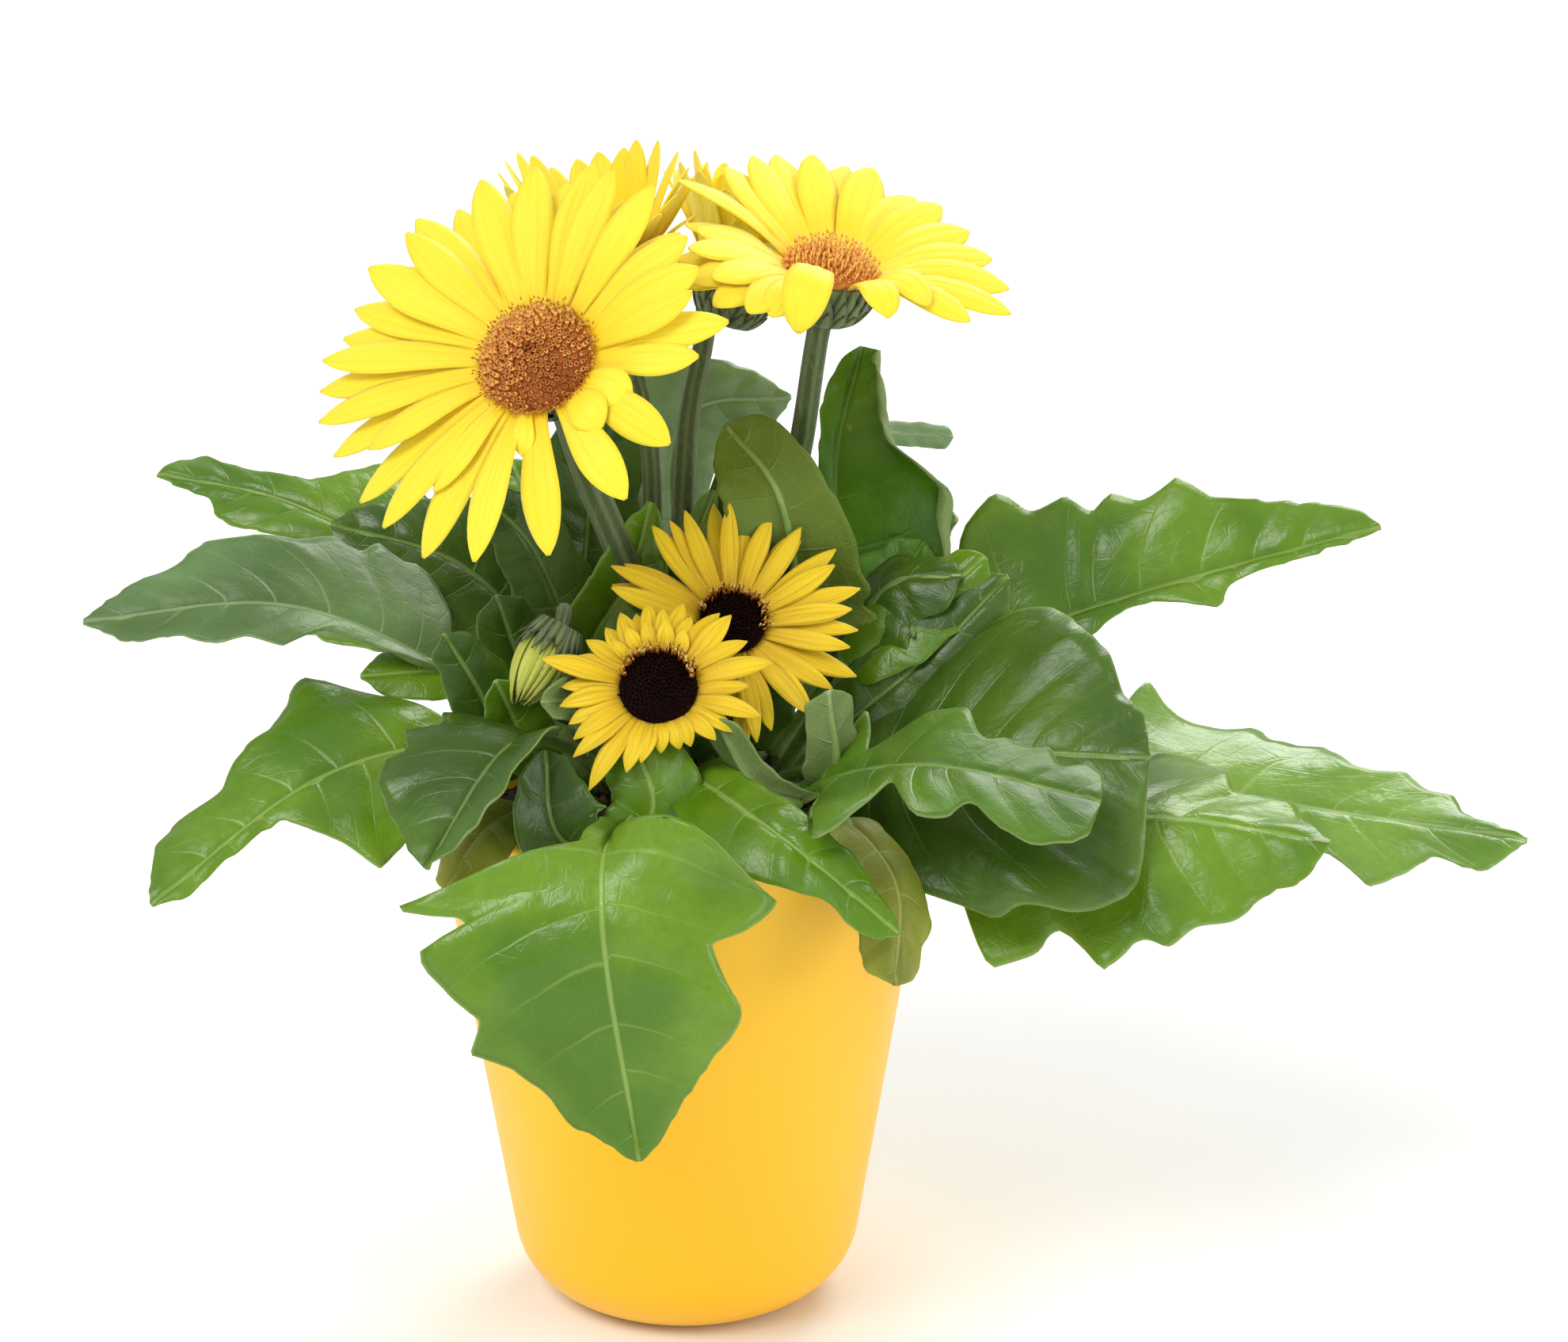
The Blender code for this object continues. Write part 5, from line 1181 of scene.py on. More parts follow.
class Blade:
    """The surface of one leaf blade, spread out from its midrib to both margins."""

    def __init__(self, name, leaf, limb):
        self.leaf = leaf
        self.seed = random.Random(name).uniform(0, 9)
        bare = leaf["stem"]
        self.length = limb.length * (1 - bare)
        shares = [bare + (1 - bare) * k / FRAME_STEPS for k in range(FRAME_STEPS + 1)]
        self.frames = leaf_frames(limb, leaf, shares)
        corners = [side if isinstance(side[0], tuple) else rule_margin(side, leaf["notch"])
                   for side in (leaf["left"], leaf["right"])]
        point, lead = leaf.get("point", LOBE_POINT), leaf.get("lead", VEIN_LEAD)
        self.margins = [Margin(side, self.length, point, lead) for side in corners]

    def place(self, foot, across):
        """A point on the upper face, its vein count and its distance from the midrib."""
        leaf, u, side = self.leaf, abs(across), 0 if across > 0 else 1
        margin = self.margins[side]
        width = max(margin.width.at(foot), LEAF_TIP_HALF_WIDTH)
        vein = margin.veins.at(foot)
        vein += 0.35 * noise.noise(Vector((vein * 0.8, self.seed, side * 7)))
        inside = ease(0.0, 0.05, foot) * (1 - ease(0.96, 1.0, foot))
        width += self.tooth(foot, side) * inside
        reach = width * u
        t = foot + (margin.along.at(foot) - foot) * u ** VEIN_BEND
        centre, way, left, face = between_frames(self.frames, t)
        base, tip = leaf["tilt"][side], leaf["tilt"][side + 2]
        turned = ease(leaf.get("held", 0.0), leaf.get("settled", 1.0), t)
        tilt = math.radians(base + (tip - base) * turned)
        outward = -left if side else left
        span = outward * math.cos(tilt) + face * math.sin(tilt)
        up = face * math.cos(tilt) - outward * math.sin(tilt)
        lift = self.swell(vein, reach, u, side) * inside
        lift -= GROOVE_DEPTH * math.exp(-(reach / GROOVE_WIDTH) ** 2)
        phase = (LEFT_PHASE, RIGHT_PHASE)[side]
        wave = MARGIN_WAVE * math.sin(2 * math.pi * MARGIN_WAVES * foot + phase)
        turn = 2 * math.pi * RUFFLE_WAVES * foot + self.seed * 5 + side * 3
        ruffle = RUFFLE * math.sin(turn) * u * u
        lift += width * u * u * (leaf["curl"] + wave + ruffle)
        rim, radius = leaf.get("rims", ((0, 1), (0, 1)))[side]
        rim *= ease(0.02, 0.18, foot) * (1 - ease(0.86, 1.0, foot))
        out, rise = rolled(reach, max(width - rim * MM, 0.3 * width), radius * MM)
        return centre + span * out + up * (lift + rise), vein, reach

    def tooth(self, foot, side):
        """How far small uneven teeth stand out of the margin."""
        place = foot * self.length / TOOTH_SPACING + side * 0.4
        place += 0.35 * noise.noise(Vector((place * 0.6, self.seed, side)))
        rest = place - math.floor(place)
        saw = rest / TOOTH_RISE if rest < TOOTH_RISE else (1 - rest) / TOOTH_FALL
        uneven = 0.5 + noise.noise(Vector((place * 0.45, self.seed + 4, side)))
        return TOOTH * max(uneven, 0.0) * (saw - 0.5)

    def swell(self, vein, reach, u, side):
        """How far the blade bulges between two side veins."""
        wander = 0.08 * noise.noise(Vector((vein * 1.7, self.seed + side, u * 1.5)))
        between = abs(vein + wander - round(vein + wander)) * 2
        pillow = math.sin(math.pi / 2 * between) * math.sin(math.pi * u ** 0.7) ** 0.8
        blister = BLISTER * noise.noise(Vector((vein * 2.1, reach * 150, self.seed * 3)))
        broad = noise.noise(Vector((vein * 0.6, reach * 55, self.seed * 2)))
        broad = BROAD_SWELL * broad * u ** 0.5
        size = QUILT * self.leaf.get("quilt", 1.0) * min(self.length / 0.09, 1.0)
        return size * (pillow * (0.85 + blister) + broad)


def turned_to(limb, looks):
    """How far a leaf rolls about its midrib, in degrees, so that its upper face looks that way."""
    _, way, side = limb.at(0.6)
    looks = Vector(looks)
    return math.degrees(math.atan2(-looks.dot(side), looks.dot(way.cross(side))))


def make_leaf(name, leaf, limb, *nodes):
    """A quilted blade with a margin of lobes and teeth, on a stem that runs on as its midrib."""
    if "looks" in leaf:
        leaf["roll"] = turned_to(limb, leaf["looks"])
    blade = Blade(name, leaf, limb)
    stem = leaf["stem"]
    rows = min(max(round(blade.length / ROW_SPACING), FEWEST_ROWS), MOST_ROWS)
    bm = bmesh.new()
    layers = float_layers(bm, "vein", "span", "reach", "along")
    rib_end = stem + (1 - stem) * RIB_END
    rib_shares = [rib_end * k / RIB_STEPS for k in range(RIB_STEPS + 1)]
    rib_frames = leaf_frames(limb, leaf, rib_shares)

    def on_rib(corner, ring, angle):
        centre, way, side, face = rib_frames[ring]
        rest = max((rib_shares[ring] - stem) / (1 - stem), 0.0)
        radius = RIB_RADIUS + (RIB_END_RADIUS - RIB_RADIUS) * min(rest * 1.02, 1.0) ** 0.6
        in_blade = ease(0, 0.10, rest)
        sunk = radius * 1.02 * in_blade + GROOVE_DEPTH * in_blade * 0.7
        groove = 1 - RIB_GROOVE * max(math.sin(angle), 0) ** 6 * (1 - in_blade)
        out = side * math.cos(angle) + face * (math.sin(angle) * groove * RIB_HEIGHT)
        return centre - face * sunk + out * radius

    grown_tube(bm, RIB_STEPS, RIB_SIDES, on_rib, finish=2)

    def on_blade(corner, row, column):
        across = (column - HALF_COLUMNS) / HALF_COLUMNS
        across = math.copysign(abs(across) ** COLUMN_CROWDING, across)
        foot = row / rows
        place, vein, reach = blade.place(foot, across)
        note(corner, layers, vein, abs(across), reach / MM, foot)
        return place

    grown_sheet(bm, rows, 2 * HALF_COLUMNS, on_blade, BLADE_THICKNESS)
    slot = "old_leaf" if leaf["top"] == "ageing" else "leaf"
    words = ("top_" + leaf["top"], "under_" + leaf["under"], "leaf_stem")
    new_piece(name + "_blade", bm, [FINISHES[word] for word in words], slot, *nodes)


def with_usual(leaf):
    """A leaf's words, and the usual ones where it has none of its own."""
    both = leaf.get("both")
    return {"left": both, "right": both, **USUAL, **leaf}


def make_leaves():
    """Every leaf that has a solid, then the smaller ones that grow among them."""
    bearings = crown_bearings()
    for name, leaf in LEAVES.items():
        leaf = with_usual(leaf)
        make_leaf(name, leaf, leaf_limb(leaf, bearings[name]), name)
    for name, leaf in SMALLER.items():
        leaf = with_usual(leaf)
        points = [millimetres(p) for p in (leaf["root"], *leaf["via"], leaf["tip"])]
        make_leaf(name, leaf, Limb(points, (points[1] - points[0]).normalized()))


# Flower heads

class Head:
    """Where a flower head stands: its centre, its axis, and the clock directions on its face."""

    def __init__(self, name, flower):
        self.name = name
        self.flower = flower
        self.centre = millimetres(flower["hub"]) + millimetres(flower.get("moved", (0, 0, 0)))
        self.axis = Vector(flower["facing"]).normalized()
        up = Vector((0, math.sin(CAMERA_PITCH), math.cos(CAMERA_PITCH)))
        self.up = (up - self.axis * up.dot(self.axis)).normalized()
        self.right = self.up.cross(self.axis)
        self.turn = Matrix((self.right, self.up, self.axis)).transposed().to_4x4()
        self.place = Matrix.Translation(self.centre) @ self.turn

    def way(self, clock):
        """The direction of an hour on the face, in degrees: 0 is up and 90 the viewer's right."""
        angle = math.radians(clock)
        return self.up * math.cos(angle) + self.right * math.sin(angle)


def ray_width(v, claw, point, sharp):
    """Share of a ray's half width: a narrow claw, widest past the middle, and its tip."""
    body = claw + (1 - claw) * ease(0.0, min(0.62, point + 0.05), v)
    over = max((v - point) / (1 - point), 0.0)
    return max(body * max(1 - over ** 2.2, 0.0) ** sharp, 0.10)


def grow_ray(bm, layers, head, clock, reach, half, rise=0.0, droop=0.0, roll=0.0, bend=0.0,
             base=0.0, claw=0.46, point=0.66, sharp=0.62):
    """One ray: a grooved strap that leaves the hub along the line that the solids have."""
    flower = head.flower
    outward = head.way(clock)
    aside = head.axis.cross(outward)
    leaning = outward.dot(Vector(flower["lean_to"]).normalized())
    lift = math.radians(flower["rise"] + flower["lean"] * leaning + rise)
    fall = math.radians(flower["droop"] + droop)
    fall = fall if abs(fall) > 0.01 else 0.01
    root = hub_radius(flower) * RAY_ROOT
    length = reach * MM - root
    tone = noise.noise(Vector((clock * 0.37, reach, half)))

    def on_ray(corner, row, column):
        v = 1 - (1 - row / RAY_ROWS) ** RAY_CROWDING
        s = column / RAY_COLUMNS * 2 - 1
        slope = lift - fall * v
        out = root + length * (math.sin(lift) - math.sin(slope)) / fall
        up = base * MM + length * (math.cos(slope) - math.cos(lift)) / fall
        normal = head.axis * math.cos(slope) - outward * math.sin(slope)
        turn = math.radians(roll) * ease(0, 0.5, v)
        across = aside * math.cos(turn) + normal * math.sin(turn)
        above = normal * math.cos(turn) - aside * math.sin(turn)
        wide = half * MM * ray_width(v, claw, point, sharp)
        off = (abs(s) - RAY_GROOVE_PLACE) / RAY_GROOVE_WIDTH
        groove = RAY_GROOVE * math.exp(-off ** 2) * (1 - v * v)
        arch = wide * (-RAY_ARCH * s * s - groove) + 0.02 * wide * math.sin(9 * v + clock)
        note(corner, layers, v, s, tone)
        middle = head.centre + outward * out + head.axis * up + aside * (bend * MM * v * v)
        return middle + across * (wide * s) + above * arch

    grown_sheet(bm, RAY_ROWS, RAY_COLUMNS, on_ray, RAY_THICKNESS)


def listed_rays(bm, layers, head, rng):
    """Rays from a flower's list, those at the sides turned to face the viewer."""
    turned, shape = head.flower.get("turned", 0), head.flower.get("shape", {})
    for clock, reach, half, rise, droop in head.flower.get("rays", ()):
        grow_ray(bm, layers, head, clock, reach, half, rise=rise + scattered(rng, 1.5), droop=droop,
                 roll=7 + scattered(rng, 5) + turned * math.sin(math.radians(clock)),
                 bend=scattered(rng, 1.6), base=scattered(rng, 0.3), **shape)


def ray_ring(bm, layers, head, rng, count, reach, half, rise, spread, start=0.0, base=0.0):
    """A ring of rays that differ a little from each other."""
    for k in range(count):
        clock = (start + 360 * (k + scattered(rng, 0.22)) / count) % 360
        draws = [rng.uniform(-1, 1) for _ in range(6)]
        grow_ray(bm, layers, head, clock, reach * (1 + 0.06 * draws[0]),
                 half * (1 + 0.14 * draws[1]), rise=rise + spread * draws[2], droop=6 * draws[3],
                 roll=6 + 7 * draws[4], bend=2.0 * draws[5], base=base,
                 **head.flower.get("shape", {}))


def dome_point(head, rim, height, share, clock):
    """A point on the domed disc and the direction out of it, share 0 at its middle."""
    out = head.way(clock)
    up = height * (1 - share ** 2) ** 0.75
    slope = 1.5 * height / rim * share * max(1 - share ** 2, 0.05) ** -0.25
    normal = (head.axis + out * min(slope, 2.5)).normalized()
    return head.centre + out * (rim * share) + head.axis * (up + PETAL_THICKNESS / 2), normal


def standing(bm, rng, point, way, depth, wide, top, segments=5):
    """A small cone that stands on a point along a way, and its corners."""
    turn = way.to_track_quat("Z", "Y").to_matrix().to_4x4()
    spin = Matrix.Rotation(rng.uniform(0, math.pi), 4, "Z")
    place = Matrix.Translation(point + way * (depth / 2)) @ turn @ spin
    return bmesh.ops.create_cone(bm, cap_ends=True, segments=segments, radius1=wide, radius2=top,
                                 depth=depth, matrix=place)["verts"]


def shade_corners(corners, layer, start, way, depth, low, high):
    """Deal out a shade from the foot to the tip of a small standing piece."""
    for corner in corners:
        share = min(max((corner.co - start).dot(way) / depth, 0.0), 1.0)
        corner[layer] = low + (high - low) * share


def floret(bm, layer, rng, point, way, depth, wide, low, high):
    """A small open trumpet with a dark throat."""
    corners = standing(bm, rng, point, way, depth, wide * 0.6, wide)
    shade_corners(corners, layer, point, way, depth, low, high)
    mouth = max({face for corner in corners for face in corner.link_faces},
                key=lambda face: (face.calc_center_median() - point).dot(way))
    bmesh.ops.inset_individual(bm, faces=[mouth], thickness=wide * 0.34, depth=-wide * 0.8)
    for corner in mouth.verts:
        corner[layer] = low * 0.6


def stamen(bm, layer, rng, point, way, length, wide, low, high, tip):
    """A thin rod with a paler, thicker tip."""
    corners = standing(bm, rng, point, way, length, wide, wide * 0.8, segments=4)
    shade_corners(corners, layer, point, way, length, low, high)
    end = point + way * length
    lean = near(rng, way, 0.5)
    corners = standing(bm, rng, end, lean, wide * 4.5, wide * 1.25, wide * 0.4, segments=4)
    for corner in corners:
        corner[layer] = tip


def sunflower(count):
    """Places packed as in a seed head: the share of the radius and the hour of each."""
    return [(math.sqrt((k + 0.5) / count), (k * GOLDEN_ANGLE) % 360) for k in range(count)]


def make_disc(head, rng):
    """The domed eye of a flower, covered in florets, stamens or dark bristles."""
    flower = head.flower
    rim, height = flower["eye_radius"] * EYE_SHARE * MM, flower["eye_height"] * MM
    angles = [math.pi / 2 * k / DOME_STEPS for k in range(DOME_STEPS)]
    quarter = [(rim * math.sin(a), height * math.cos(a) ** 1.2) for a in angles]
    base = PETAL_THICKNESS / 2
    profile = [(out, up + base) for out, up in quarter] + [(rim, base), (rim, -base), (0, -base)]
    bm = spun(profile, DOME_SIDES, head.place)
    layer = bm.verts.layers.float.new("shade")
    grow_florets, ground = EYES[flower["eye"]]
    for corner in bm.verts:
        corner[layer] = ground
    grow_florets(bm, layer, head, rng, rim, height)
    slot = "dark_eye" if flower["eye"] == "dark" else "eye"
    new_piece(head.name + "_florets", bm, [FINISHES[slot]], slot, head.name + "_eye")


def open_eye(bm, layer, head, rng, rim, height):
    """Open florets in tan with dark gaps, a dark heart, and stamens that spill over the rays."""
    for share, clock in sunflower(OPEN_FLORETS):
        point, way = dome_point(head, rim, height, share * 0.97, clock)
        way = near(rng, way, 0.22)
        if share < 0.13:
            corners = standing(bm, rng, point, way, 1.1 * MM, 0.6 * MM, 0.2 * MM)
            shade_corners(corners, layer, point, way, 1.1 * MM, 0.05, 0.22)
        else:
            depth = rng.uniform(1.5, 2.7) * MM
            floret(bm, layer, rng, point, way, depth, rng.uniform(0.50, 0.76) * MM, 0.26,
                   rng.uniform(0.50, 0.80))
    for k in range(OPEN_STAMENS):
        clock = 360 * (k + scattered(rng, 0.5)) / OPEN_STAMENS
        out = head.way(clock)
        reach = rim * rng.uniform(0.93, 1.10)
        point = head.centre + out * reach + head.axis * (1.0 * MM + max(reach - rim, 0) * 0.35)
        way = (out * rng.uniform(0.3, 1.1) + head.axis).normalized()
        stamen(bm, layer, rng, point, way, rng.uniform(1.2, 2.6) * MM, 0.20 * MM, 0.75, 0.95, 0.30)


def brush_eye(bm, layer, head, rng, rim, height):
    """A brush of upright stamens, orange at the foot and pinkish brown at the tips."""
    for share, clock in sunflower(BRUSH_STAMENS):
        point, way = dome_point(head, rim, height, share * 0.97, clock)
        way = near(rng, way + head.axis * 0.8, 0.18)
        length = rng.uniform(3.0, 5.2) * MM * (1 - 0.35 * share ** 3)
        stamen(bm, layer, rng, point, way, length, 0.27 * MM, 0.40, 0.74, rng.uniform(0.60, 0.95))
    for share, clock in sunflower(BRUSH_FLORETS):
        point, way = dome_point(head, rim, height, share, clock + 7)
        floret(bm, layer, rng, point, way, rng.uniform(1.2, 2.2) * MM, 0.55 * MM, 0.35, 0.70)


def dark_eye(bm, layer, head, rng, rim, height):
    """Near-black bristles, and a ring of opening stamens with pale tips round the upper edge."""
    for share, clock in sunflower(DARK_BRISTLES):
        point, way = dome_point(head, rim, height, share * 0.96, clock)
        way = near(rng, way, 0.25)
        depth = rng.uniform(1.0, 1.9) * MM
        corners = standing(bm, rng, point, way, depth, 0.42 * MM, 0.14 * MM, segments=4)
        shade_corners(corners, layer, point, way, depth, 0.0, rng.uniform(0.02, 0.20))
    low, high = head.flower["open_hours"]
    for _ in range(DARK_STAMENS):
        clock = rng.uniform(low, high)
        share = rng.uniform(0.80, 1.04)
        point, way = dome_point(head, rim, height, min(share, 0.98), clock)
        point += head.way(clock) * (rim * max(share - 0.98, 0))
        way = near(rng, way * 0.7 + head.axis, 0.3)
        length = rng.uniform(1.8, 3.4) * MM
        stamen(bm, layer, rng, point, way, length, 0.24 * MM, 0.15, 0.55, rng.uniform(0.5, 1.0))


# How each kind of eye is covered, and how light the disc between its florets is.
EYES = {"open": (open_eye, 0.20), "brush": (brush_eye, 0.30), "dark": (dark_eye, 0.0)}


def bowl(p, foot, radius, height):
    """Outline of the cup under a flower: radius and height at p, from 0 at the stalk to 1."""
    return foot + (radius - foot) * math.sqrt(max(1 - (1 - p) ** 2, 0)), height * p ** 1.15


def make_cup(head, rng):
    """A green cup in overlapping whorls of narrow bracts."""
    flower = head.flower
    radius, height = (size * MM for size in flower["cup"])
    foot = flower["stalk_radius"] * MM * STALK_TOP
    drop = -(PETAL_THICKNESS / 2 + GAP + height)
    radius = max(radius, hub_radius(flower) * 0.93)
    outline = [bowl(k / CUP_STEPS, foot, radius * 0.95, height) for k in range(CUP_STEPS + 1)]
    profile = [(0, 0), *outline, (0, height)]
    bm = spun(profile, CUP_SIDES, head.place @ Matrix.Translation((0, 0, drop)))
    layers = float_layers(bm, "along", "aside", "tone")
    for low, high, count, proud in CUP_WHORLS:
        for k in range(count):
            clock = 360 * (k + low + scattered(rng, 0.2)) / count
            outward, tone = head.way(clock), rng.uniform(-1, 1)
            aside = head.axis.cross(outward)
            end = high + 0.06 * tone
            half = 2 * math.pi * radius / count * 0.56

            def on_bract(corner, row, column):
                v, s = row / BRACT_ROWS, column - 1
                p = low + (end - low) * v
                out, up = bowl(min(p, 1.0), foot, radius, height)
                over = max(p - 1.0, 0.0)
                out += (proud + 0.35 * v * v * proud) * MM + over * height * 0.45
                up += drop + over * height * 0.9
                belly = 0.45 + 0.55 * math.sin(math.pi * min(p, 1.0) ** 0.8 * 0.9)
                wide = half * belly * max(1 - v ** 3, 0.06)
                note(corner, layers, v, s, tone)
                ridge = 0.22 * MM * (1 - abs(s))
                middle = head.centre + outward * (out + ridge) + head.axis * up
                return middle + aside * (wide * -s)

            grown_sheet(bm, BRACT_ROWS, 2, on_bract, BRACT_THICKNESS, under=0)
    new_piece(head.name + "_bracts", bm, [FINISHES["cup"]], "cup", head.name + "_cup")


def make_stalk(node, limb, radius):
    """A ribbed round stalk along its line."""
    spots = [limb.at(k / STALK_RINGS) for k in range(STALK_RINGS + 1)]
    seed = random.Random(node).uniform(0, 6)
    bm = bmesh.new()
    layers = float_layers(bm, "rib")

    def on_stalk(corner, ring, angle):
        centre, way, side = spots[ring]
        share = ring / STALK_RINGS
        rib = math.cos(STALK_RIBS * angle + seed + share * 1.2)
        wide = radius * (STALK_FOOT + (STALK_TOP - STALK_FOOT) * share)
        swell = 1 + STALK_SWELL * ease(0.965, 1.0, share)
        note(corner, layers, rib)
        out = side * math.cos(angle) + way.cross(side) * math.sin(angle)
        return centre + out * (wide * swell * (1 + RIB_DEPTH * (rib - 1)))

    grown_tube(bm, STALK_RINGS, STALK_SIDES, on_stalk)
    new_piece(node + "_ribbed", bm, [FINISHES["stalk"]], "stalk", node)


def stalk_limb(carried, end, axis):
    socket, out = crown_socket(carried["bearing"], carried["tier"])
    via = [millimetres(point) for point in carried["via"]]
    return Limb([socket, *via, end], out, axis)


def make_flower(name, flower):
    """Stalk, cup, rays and eye of one flower head."""
    rng = random.Random(name)
    head = Head(name, flower)
    foot = head.centre - head.axis * (PETAL_THICKNESS / 2 + GAP + flower["cup"][1] * MM + ROOT_GAP)
    end, way = foot + head.axis * (1.5 * MM), head.axis
    if "enters" in flower:
        end, way = millimetres(flower["enters"]), Vector((0, 0, 1))
    stalk = name.replace("flower", "stalk")
    make_stalk(stalk, stalk_limb(flower, end, way), flower["stalk_radius"] * MM)
    make_cup(head, rng)
    bm = bmesh.new()
    layers = float_layers(bm, "along", "aside", "tone")
    listed_rays(bm, layers, head, rng)
    for ring in flower.get("rings", ()):
        ray_ring(bm, layers, head, rng, **ring)
    slot = "young_petal" if flower["eye"] == "dark" else "petal"
    new_piece(name + "_rays", bm, [FINISHES[slot], FINISHES[slot + "_under"]], slot,
              name + "_petals")
    make_disc(head, rng)


def make_bud():
    """The nodding bud: combed green bracts round a bundle of closed yellow-green rays."""
    rng = random.Random("bud")
    axis = Vector(BUD["facing"]).normalized()
    base = millimetres(BUD["base"])
    radius, length = BUD["radius"] * MM, BUD["length"] * MM
    limb = stalk_limb(BUD, base + axis * (2 * MM), axis)
    make_stalk("stalk_bud", limb, BUD["stalk_radius"] * MM)
    turn = axis.to_track_quat("Z", "Y").to_matrix().to_4x4()
    place = Matrix.Translation(base) @ turn
    core = [(0, 0), (radius * 0.5, 0.5 * MM), (radius * 0.8, length * 0.2),
            (radius * 0.82, length * 0.5), (radius * 0.6, length * 0.8), (0, length * 0.86)]
    bm = spun(core, BUD_SIDES, place)
    layers = float_layers(bm, "along", "aside", "tone")

    def strips(count, low, high, wide, proud, finish, tuck):
        for k in range(count):
            angle = 2 * math.pi * (k + scattered(rng, 0.3)) / count
            tone = rng.uniform(-1, 1)
            out = turn.to_3x3() @ Vector((math.cos(angle), math.sin(angle), 0))
            aside = axis.cross(out)
            end = high * (1 + 0.07 * tone)

            def on_strip(corner, row, column):
                v, s = row / BUD_ROWS, column - 1
                p = low + (end - low) * v
                belly = math.sin(math.pi * min(0.16 + 0.70 * p, 1.0)) ** 0.6
                across = radius * belly * (1 - tuck * v ** 4) + proud * MM
                half = wide * MM * (0.55 + 0.45 * math.sin(math.pi * v)) * max(1 - v ** 5, 0.12)
                note(corner, layers, v, s, tone)
                ridge = 0.3 * MM * (1 - abs(s))
                return base + axis * (length * p) + out * (across + ridge) + aside * (half * -s)

            grown_sheet(bm, BUD_ROWS, 2, on_strip, BRACT_THICKNESS, under=finish, over=finish)

    strips(20, 0.20, 1.06, 1.35, 0.0, 1, 0.30)
    strips(16, 0.24, 0.98, 1.35, -0.9, 1, 0.30)
    strips(16, 0.00, 0.44, 1.25, 0.8, 0, -0.10)
    strips(14, 0.00, 0.30, 1.30, 1.2, 0, -0.15)
    new_piece("bud_bundle", bm, [FINISHES["cup"], FINISHES["bud"]], "bud", "bud")


# Pot, compost and crown

def make_pot():
    """A turned shell with a rounded foot and a round lip."""
    slope = wall_slope()
    foot_centre = (foot_flat_radius(), POT_FOOT_ROUNDING)
    lip = POT_WALL / 2
    lip_centre = (POT_RIM_RADIUS - lip, POT_HEIGHT - lip)
    inside = [(0, POT_WALL)]
    inside += arc(foot_centre, POT_FOOT_ROUNDING - POT_WALL, -90, -slope, FOOT_STEPS)
    inside += arc(lip_centre, lip, 180 - slope, -slope, LIP_STEPS)
    outside = arc(foot_centre, POT_FOOT_ROUNDING, -slope, -90, FOOT_STEPS)
    bm = spun([*inside, *outside, (0, 0)], POT_STEPS)
    new_piece("pot_shell", bm, [FINISHES["glaze"]], "glaze", "pot")


def make_soil():
    """Dark compost that fills the pot, uneven on top and strewn with crumbs."""
    rng = random.Random("soil")
    edge = inner_radius(SOIL_HEIGHT) - SOIL_CLEARANCE
    foot_centre = (foot_flat_radius(), POT_FOOT_ROUNDING)
    foot_rounding = POT_FOOT_ROUNDING - POT_WALL - SOIL_CLEARANCE
    top = [(edge * k / SOIL_RINGS, SOIL_HEIGHT + SOIL_DOME * (1 - (k / SOIL_RINGS) ** 2))
           for k in range(SOIL_RINGS + 1)]
    side = arc(foot_centre, foot_rounding, -wall_slope(), -90, 4)
    bm = spun([*top, *side, (0, POT_WALL + SOIL_CLEARANCE)], SOIL_SIDES)
    for corner in bm.verts:
        if corner.co.z > SOIL_HEIGHT - 0.5 * MM:
            rough = noise.noise(corner.co * 190) * 1.4 + noise.noise(corner.co * 520) * 0.7
            corner.co.z += (rough - 0.9) * MM
    for _ in range(CRUMBS):
        out, angle = edge * math.sqrt(rng.uniform(0.15, 0.93)), rng.uniform(0, 2 * math.pi)
        size = rng.uniform(0.7, 2.1) * MM
        height = SOIL_HEIGHT + SOIL_DOME * (1 - (out / edge) ** 2) - 0.5 * MM
        spot = Matrix.Translation((out * math.cos(angle), out * math.sin(angle), height))
        corners = bmesh.ops.create_icosphere(bm, subdivisions=1, radius=size, matrix=spot)["verts"]
        for corner in corners:
            corner.co += noise.noise_vector(corner.co * 900) * size * 0.6
            corner.co.z = height + (corner.co.z - height) * 0.7
    new_piece("compost", bm, [FINISHES["soil"]], "soil", "soil")


def make_crown():
    """The low knot of old stem bases that every stem leaves."""
    rng = random.Random("crown")
    quarter = arc((0, 0), 1.0, 90, 0, CROWN_STEPS)
    profile = [(CROWN_RADIUS * across, CROWN_HEIGHT * up) for across, up in quarter[1:]]
    base = Vector((0, 0, crown_base() - 1.5 * MM))
    bm = spun([(0, CROWN_HEIGHT), *profile, (0, 0)], CROWN_SIDES, Matrix.Translation(base))
    for corner in bm.verts:
        corner.co += noise.noise_vector(corner.co * 160) * 1.2 * MM
    for _ in range(STEM_BASES):
        turn, lift = rng.uniform(0, 2 * math.pi), math.radians(rng.uniform(4, 84))
        across = Vector((math.cos(turn), math.sin(turn), 0))
        point = on_dome(across, lift)
        way = (across * math.cos(lift) + Vector((0, 0, 0.5 + math.sin(lift)))).normalized()
        depth = rng.uniform(4, 11) * MM
        standing(bm, rng, base + point * 0.96, way, depth, rng.uniform(1.2, 2.2) * MM,
                 rng.uniform(0.5, 1.3) * MM, segments=7)
    new_piece("crown_knot", bm, [FINISHES["crown"]], "crown", "crown")


# Stage

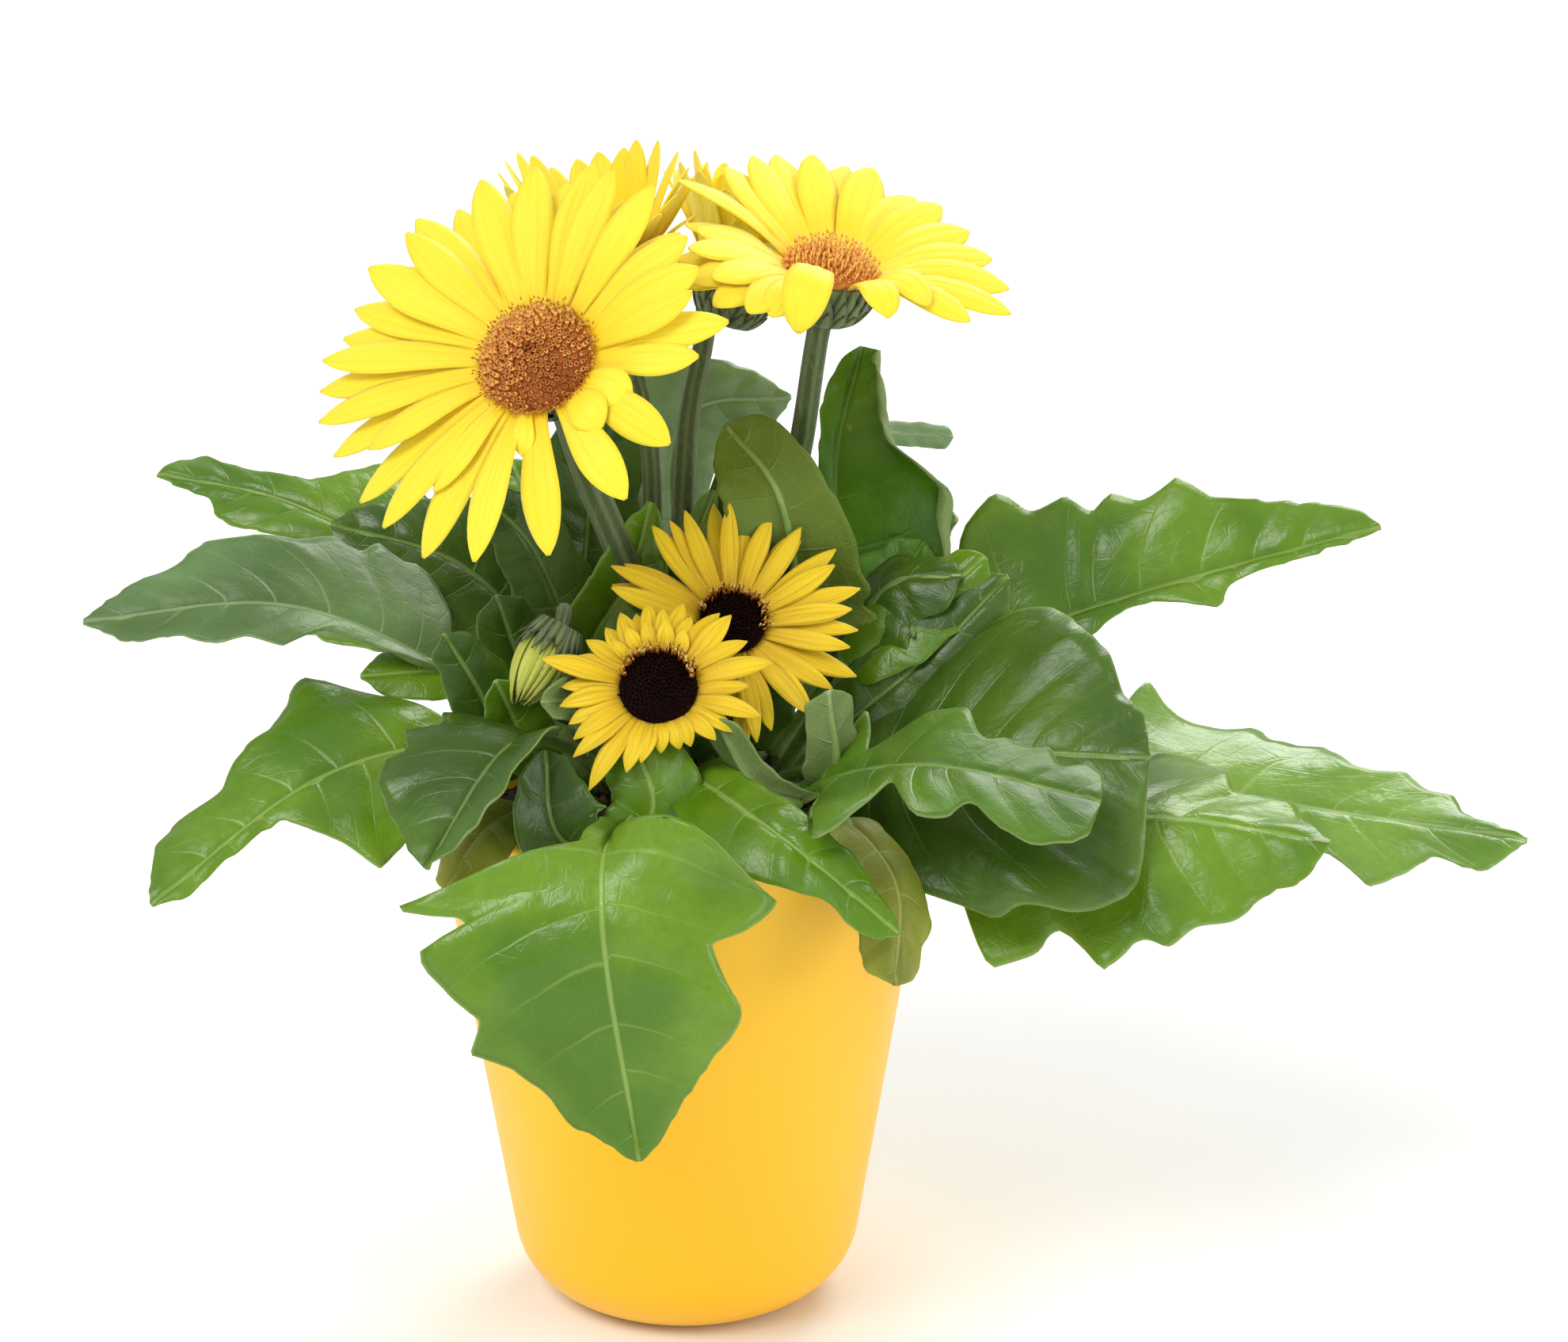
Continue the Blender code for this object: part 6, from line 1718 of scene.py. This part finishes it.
def make_stage():
    """A wide pale floor that runs out of sight."""
    bm = bmesh.new()
    bmesh.ops.create_circle(bm, cap_ends=True, segments=FLOOR_SIDES, radius=FLOOR_RADIUS)
    mesh = bpy.data.meshes.new("floor")
    bm.to_mesh(mesh)
    bm.free()
    floor = bpy.data.objects.new("floor", mesh)
    floor.location = (0, 0, -FLOOR_DROP)
    bpy.context.scene.collection.objects.link(floor)
    material, wire = new_finish("pale floor", Specular_IOR_Level=0.1)
    tint = wire.mix(wire.noise(3.0), (0.93, 0.93, 0.93, 1.0), (0.95, 0.95, 0.95, 1.0))
    wire.dress(tint, wire.spread(wire.noise(5.0), 0.0, 1.0, 0.85, 0.95))
    mesh.materials.append(material)


def make_light(name, place, spread, strength):
    """A wide soft light that shines from a place towards the plant, as bright far off as near."""
    lamp = bpy.data.lights.new(name, "SUN")
    lamp.angle = math.radians(spread)
    lamp.energy = strength
    light = bpy.data.objects.new(name, lamp)
    light.location = place
    light.rotation_euler = (-Vector(place)).to_track_quat("-Z", "Y").to_euler()
    bpy.context.scene.collection.objects.link(light)


def make_world():
    """White surroundings: plain white behind the plant, and a softer white as light."""
    world = bpy.data.worlds.new("studio")
    world.use_nodes = True
    wire = Wiring(world.node_tree)
    background = world.node_tree.nodes["Background"]
    seen = wire.add("ShaderNodeLightPath").outputs["Is Camera Ray"]
    strength = wire.add("ShaderNodeMapRange", {0: seen, 3: WORLD_LIGHT, 4: 1.0}).outputs[0]
    background.inputs["Color"].default_value = (1.0, 1.0, 1.0, 1.0)
    wire.feed(background.inputs["Strength"], strength)
    bpy.context.scene.world = world


def make_camera():
    lens = bpy.data.cameras.new("camera")
    lens.lens = CAMERA_LENS
    lens.sensor_width = SENSOR_WIDTH
    camera = bpy.data.objects.new("camera", lens)
    camera.location = CAMERA_PLACE
    camera.rotation_euler = (math.pi / 2 - CAMERA_PITCH, 0, 0)
    bpy.context.scene.collection.objects.link(camera)
    bpy.context.scene.camera = camera


def main():
    make_camera()
    make_world()
    make_stage()
    for name, light in LIGHTS.items():
        make_light(name, *light)
    bpy.context.scene.view_settings.view_transform = "Standard"
    noise.seed_set(ROUGHNESS_SEED)
    make_pot()
    make_soil()
    make_crown()
    make_leaves()
    for name, flower in FLOWERS.items():
        make_flower(name, flower)
    make_bud()


main()
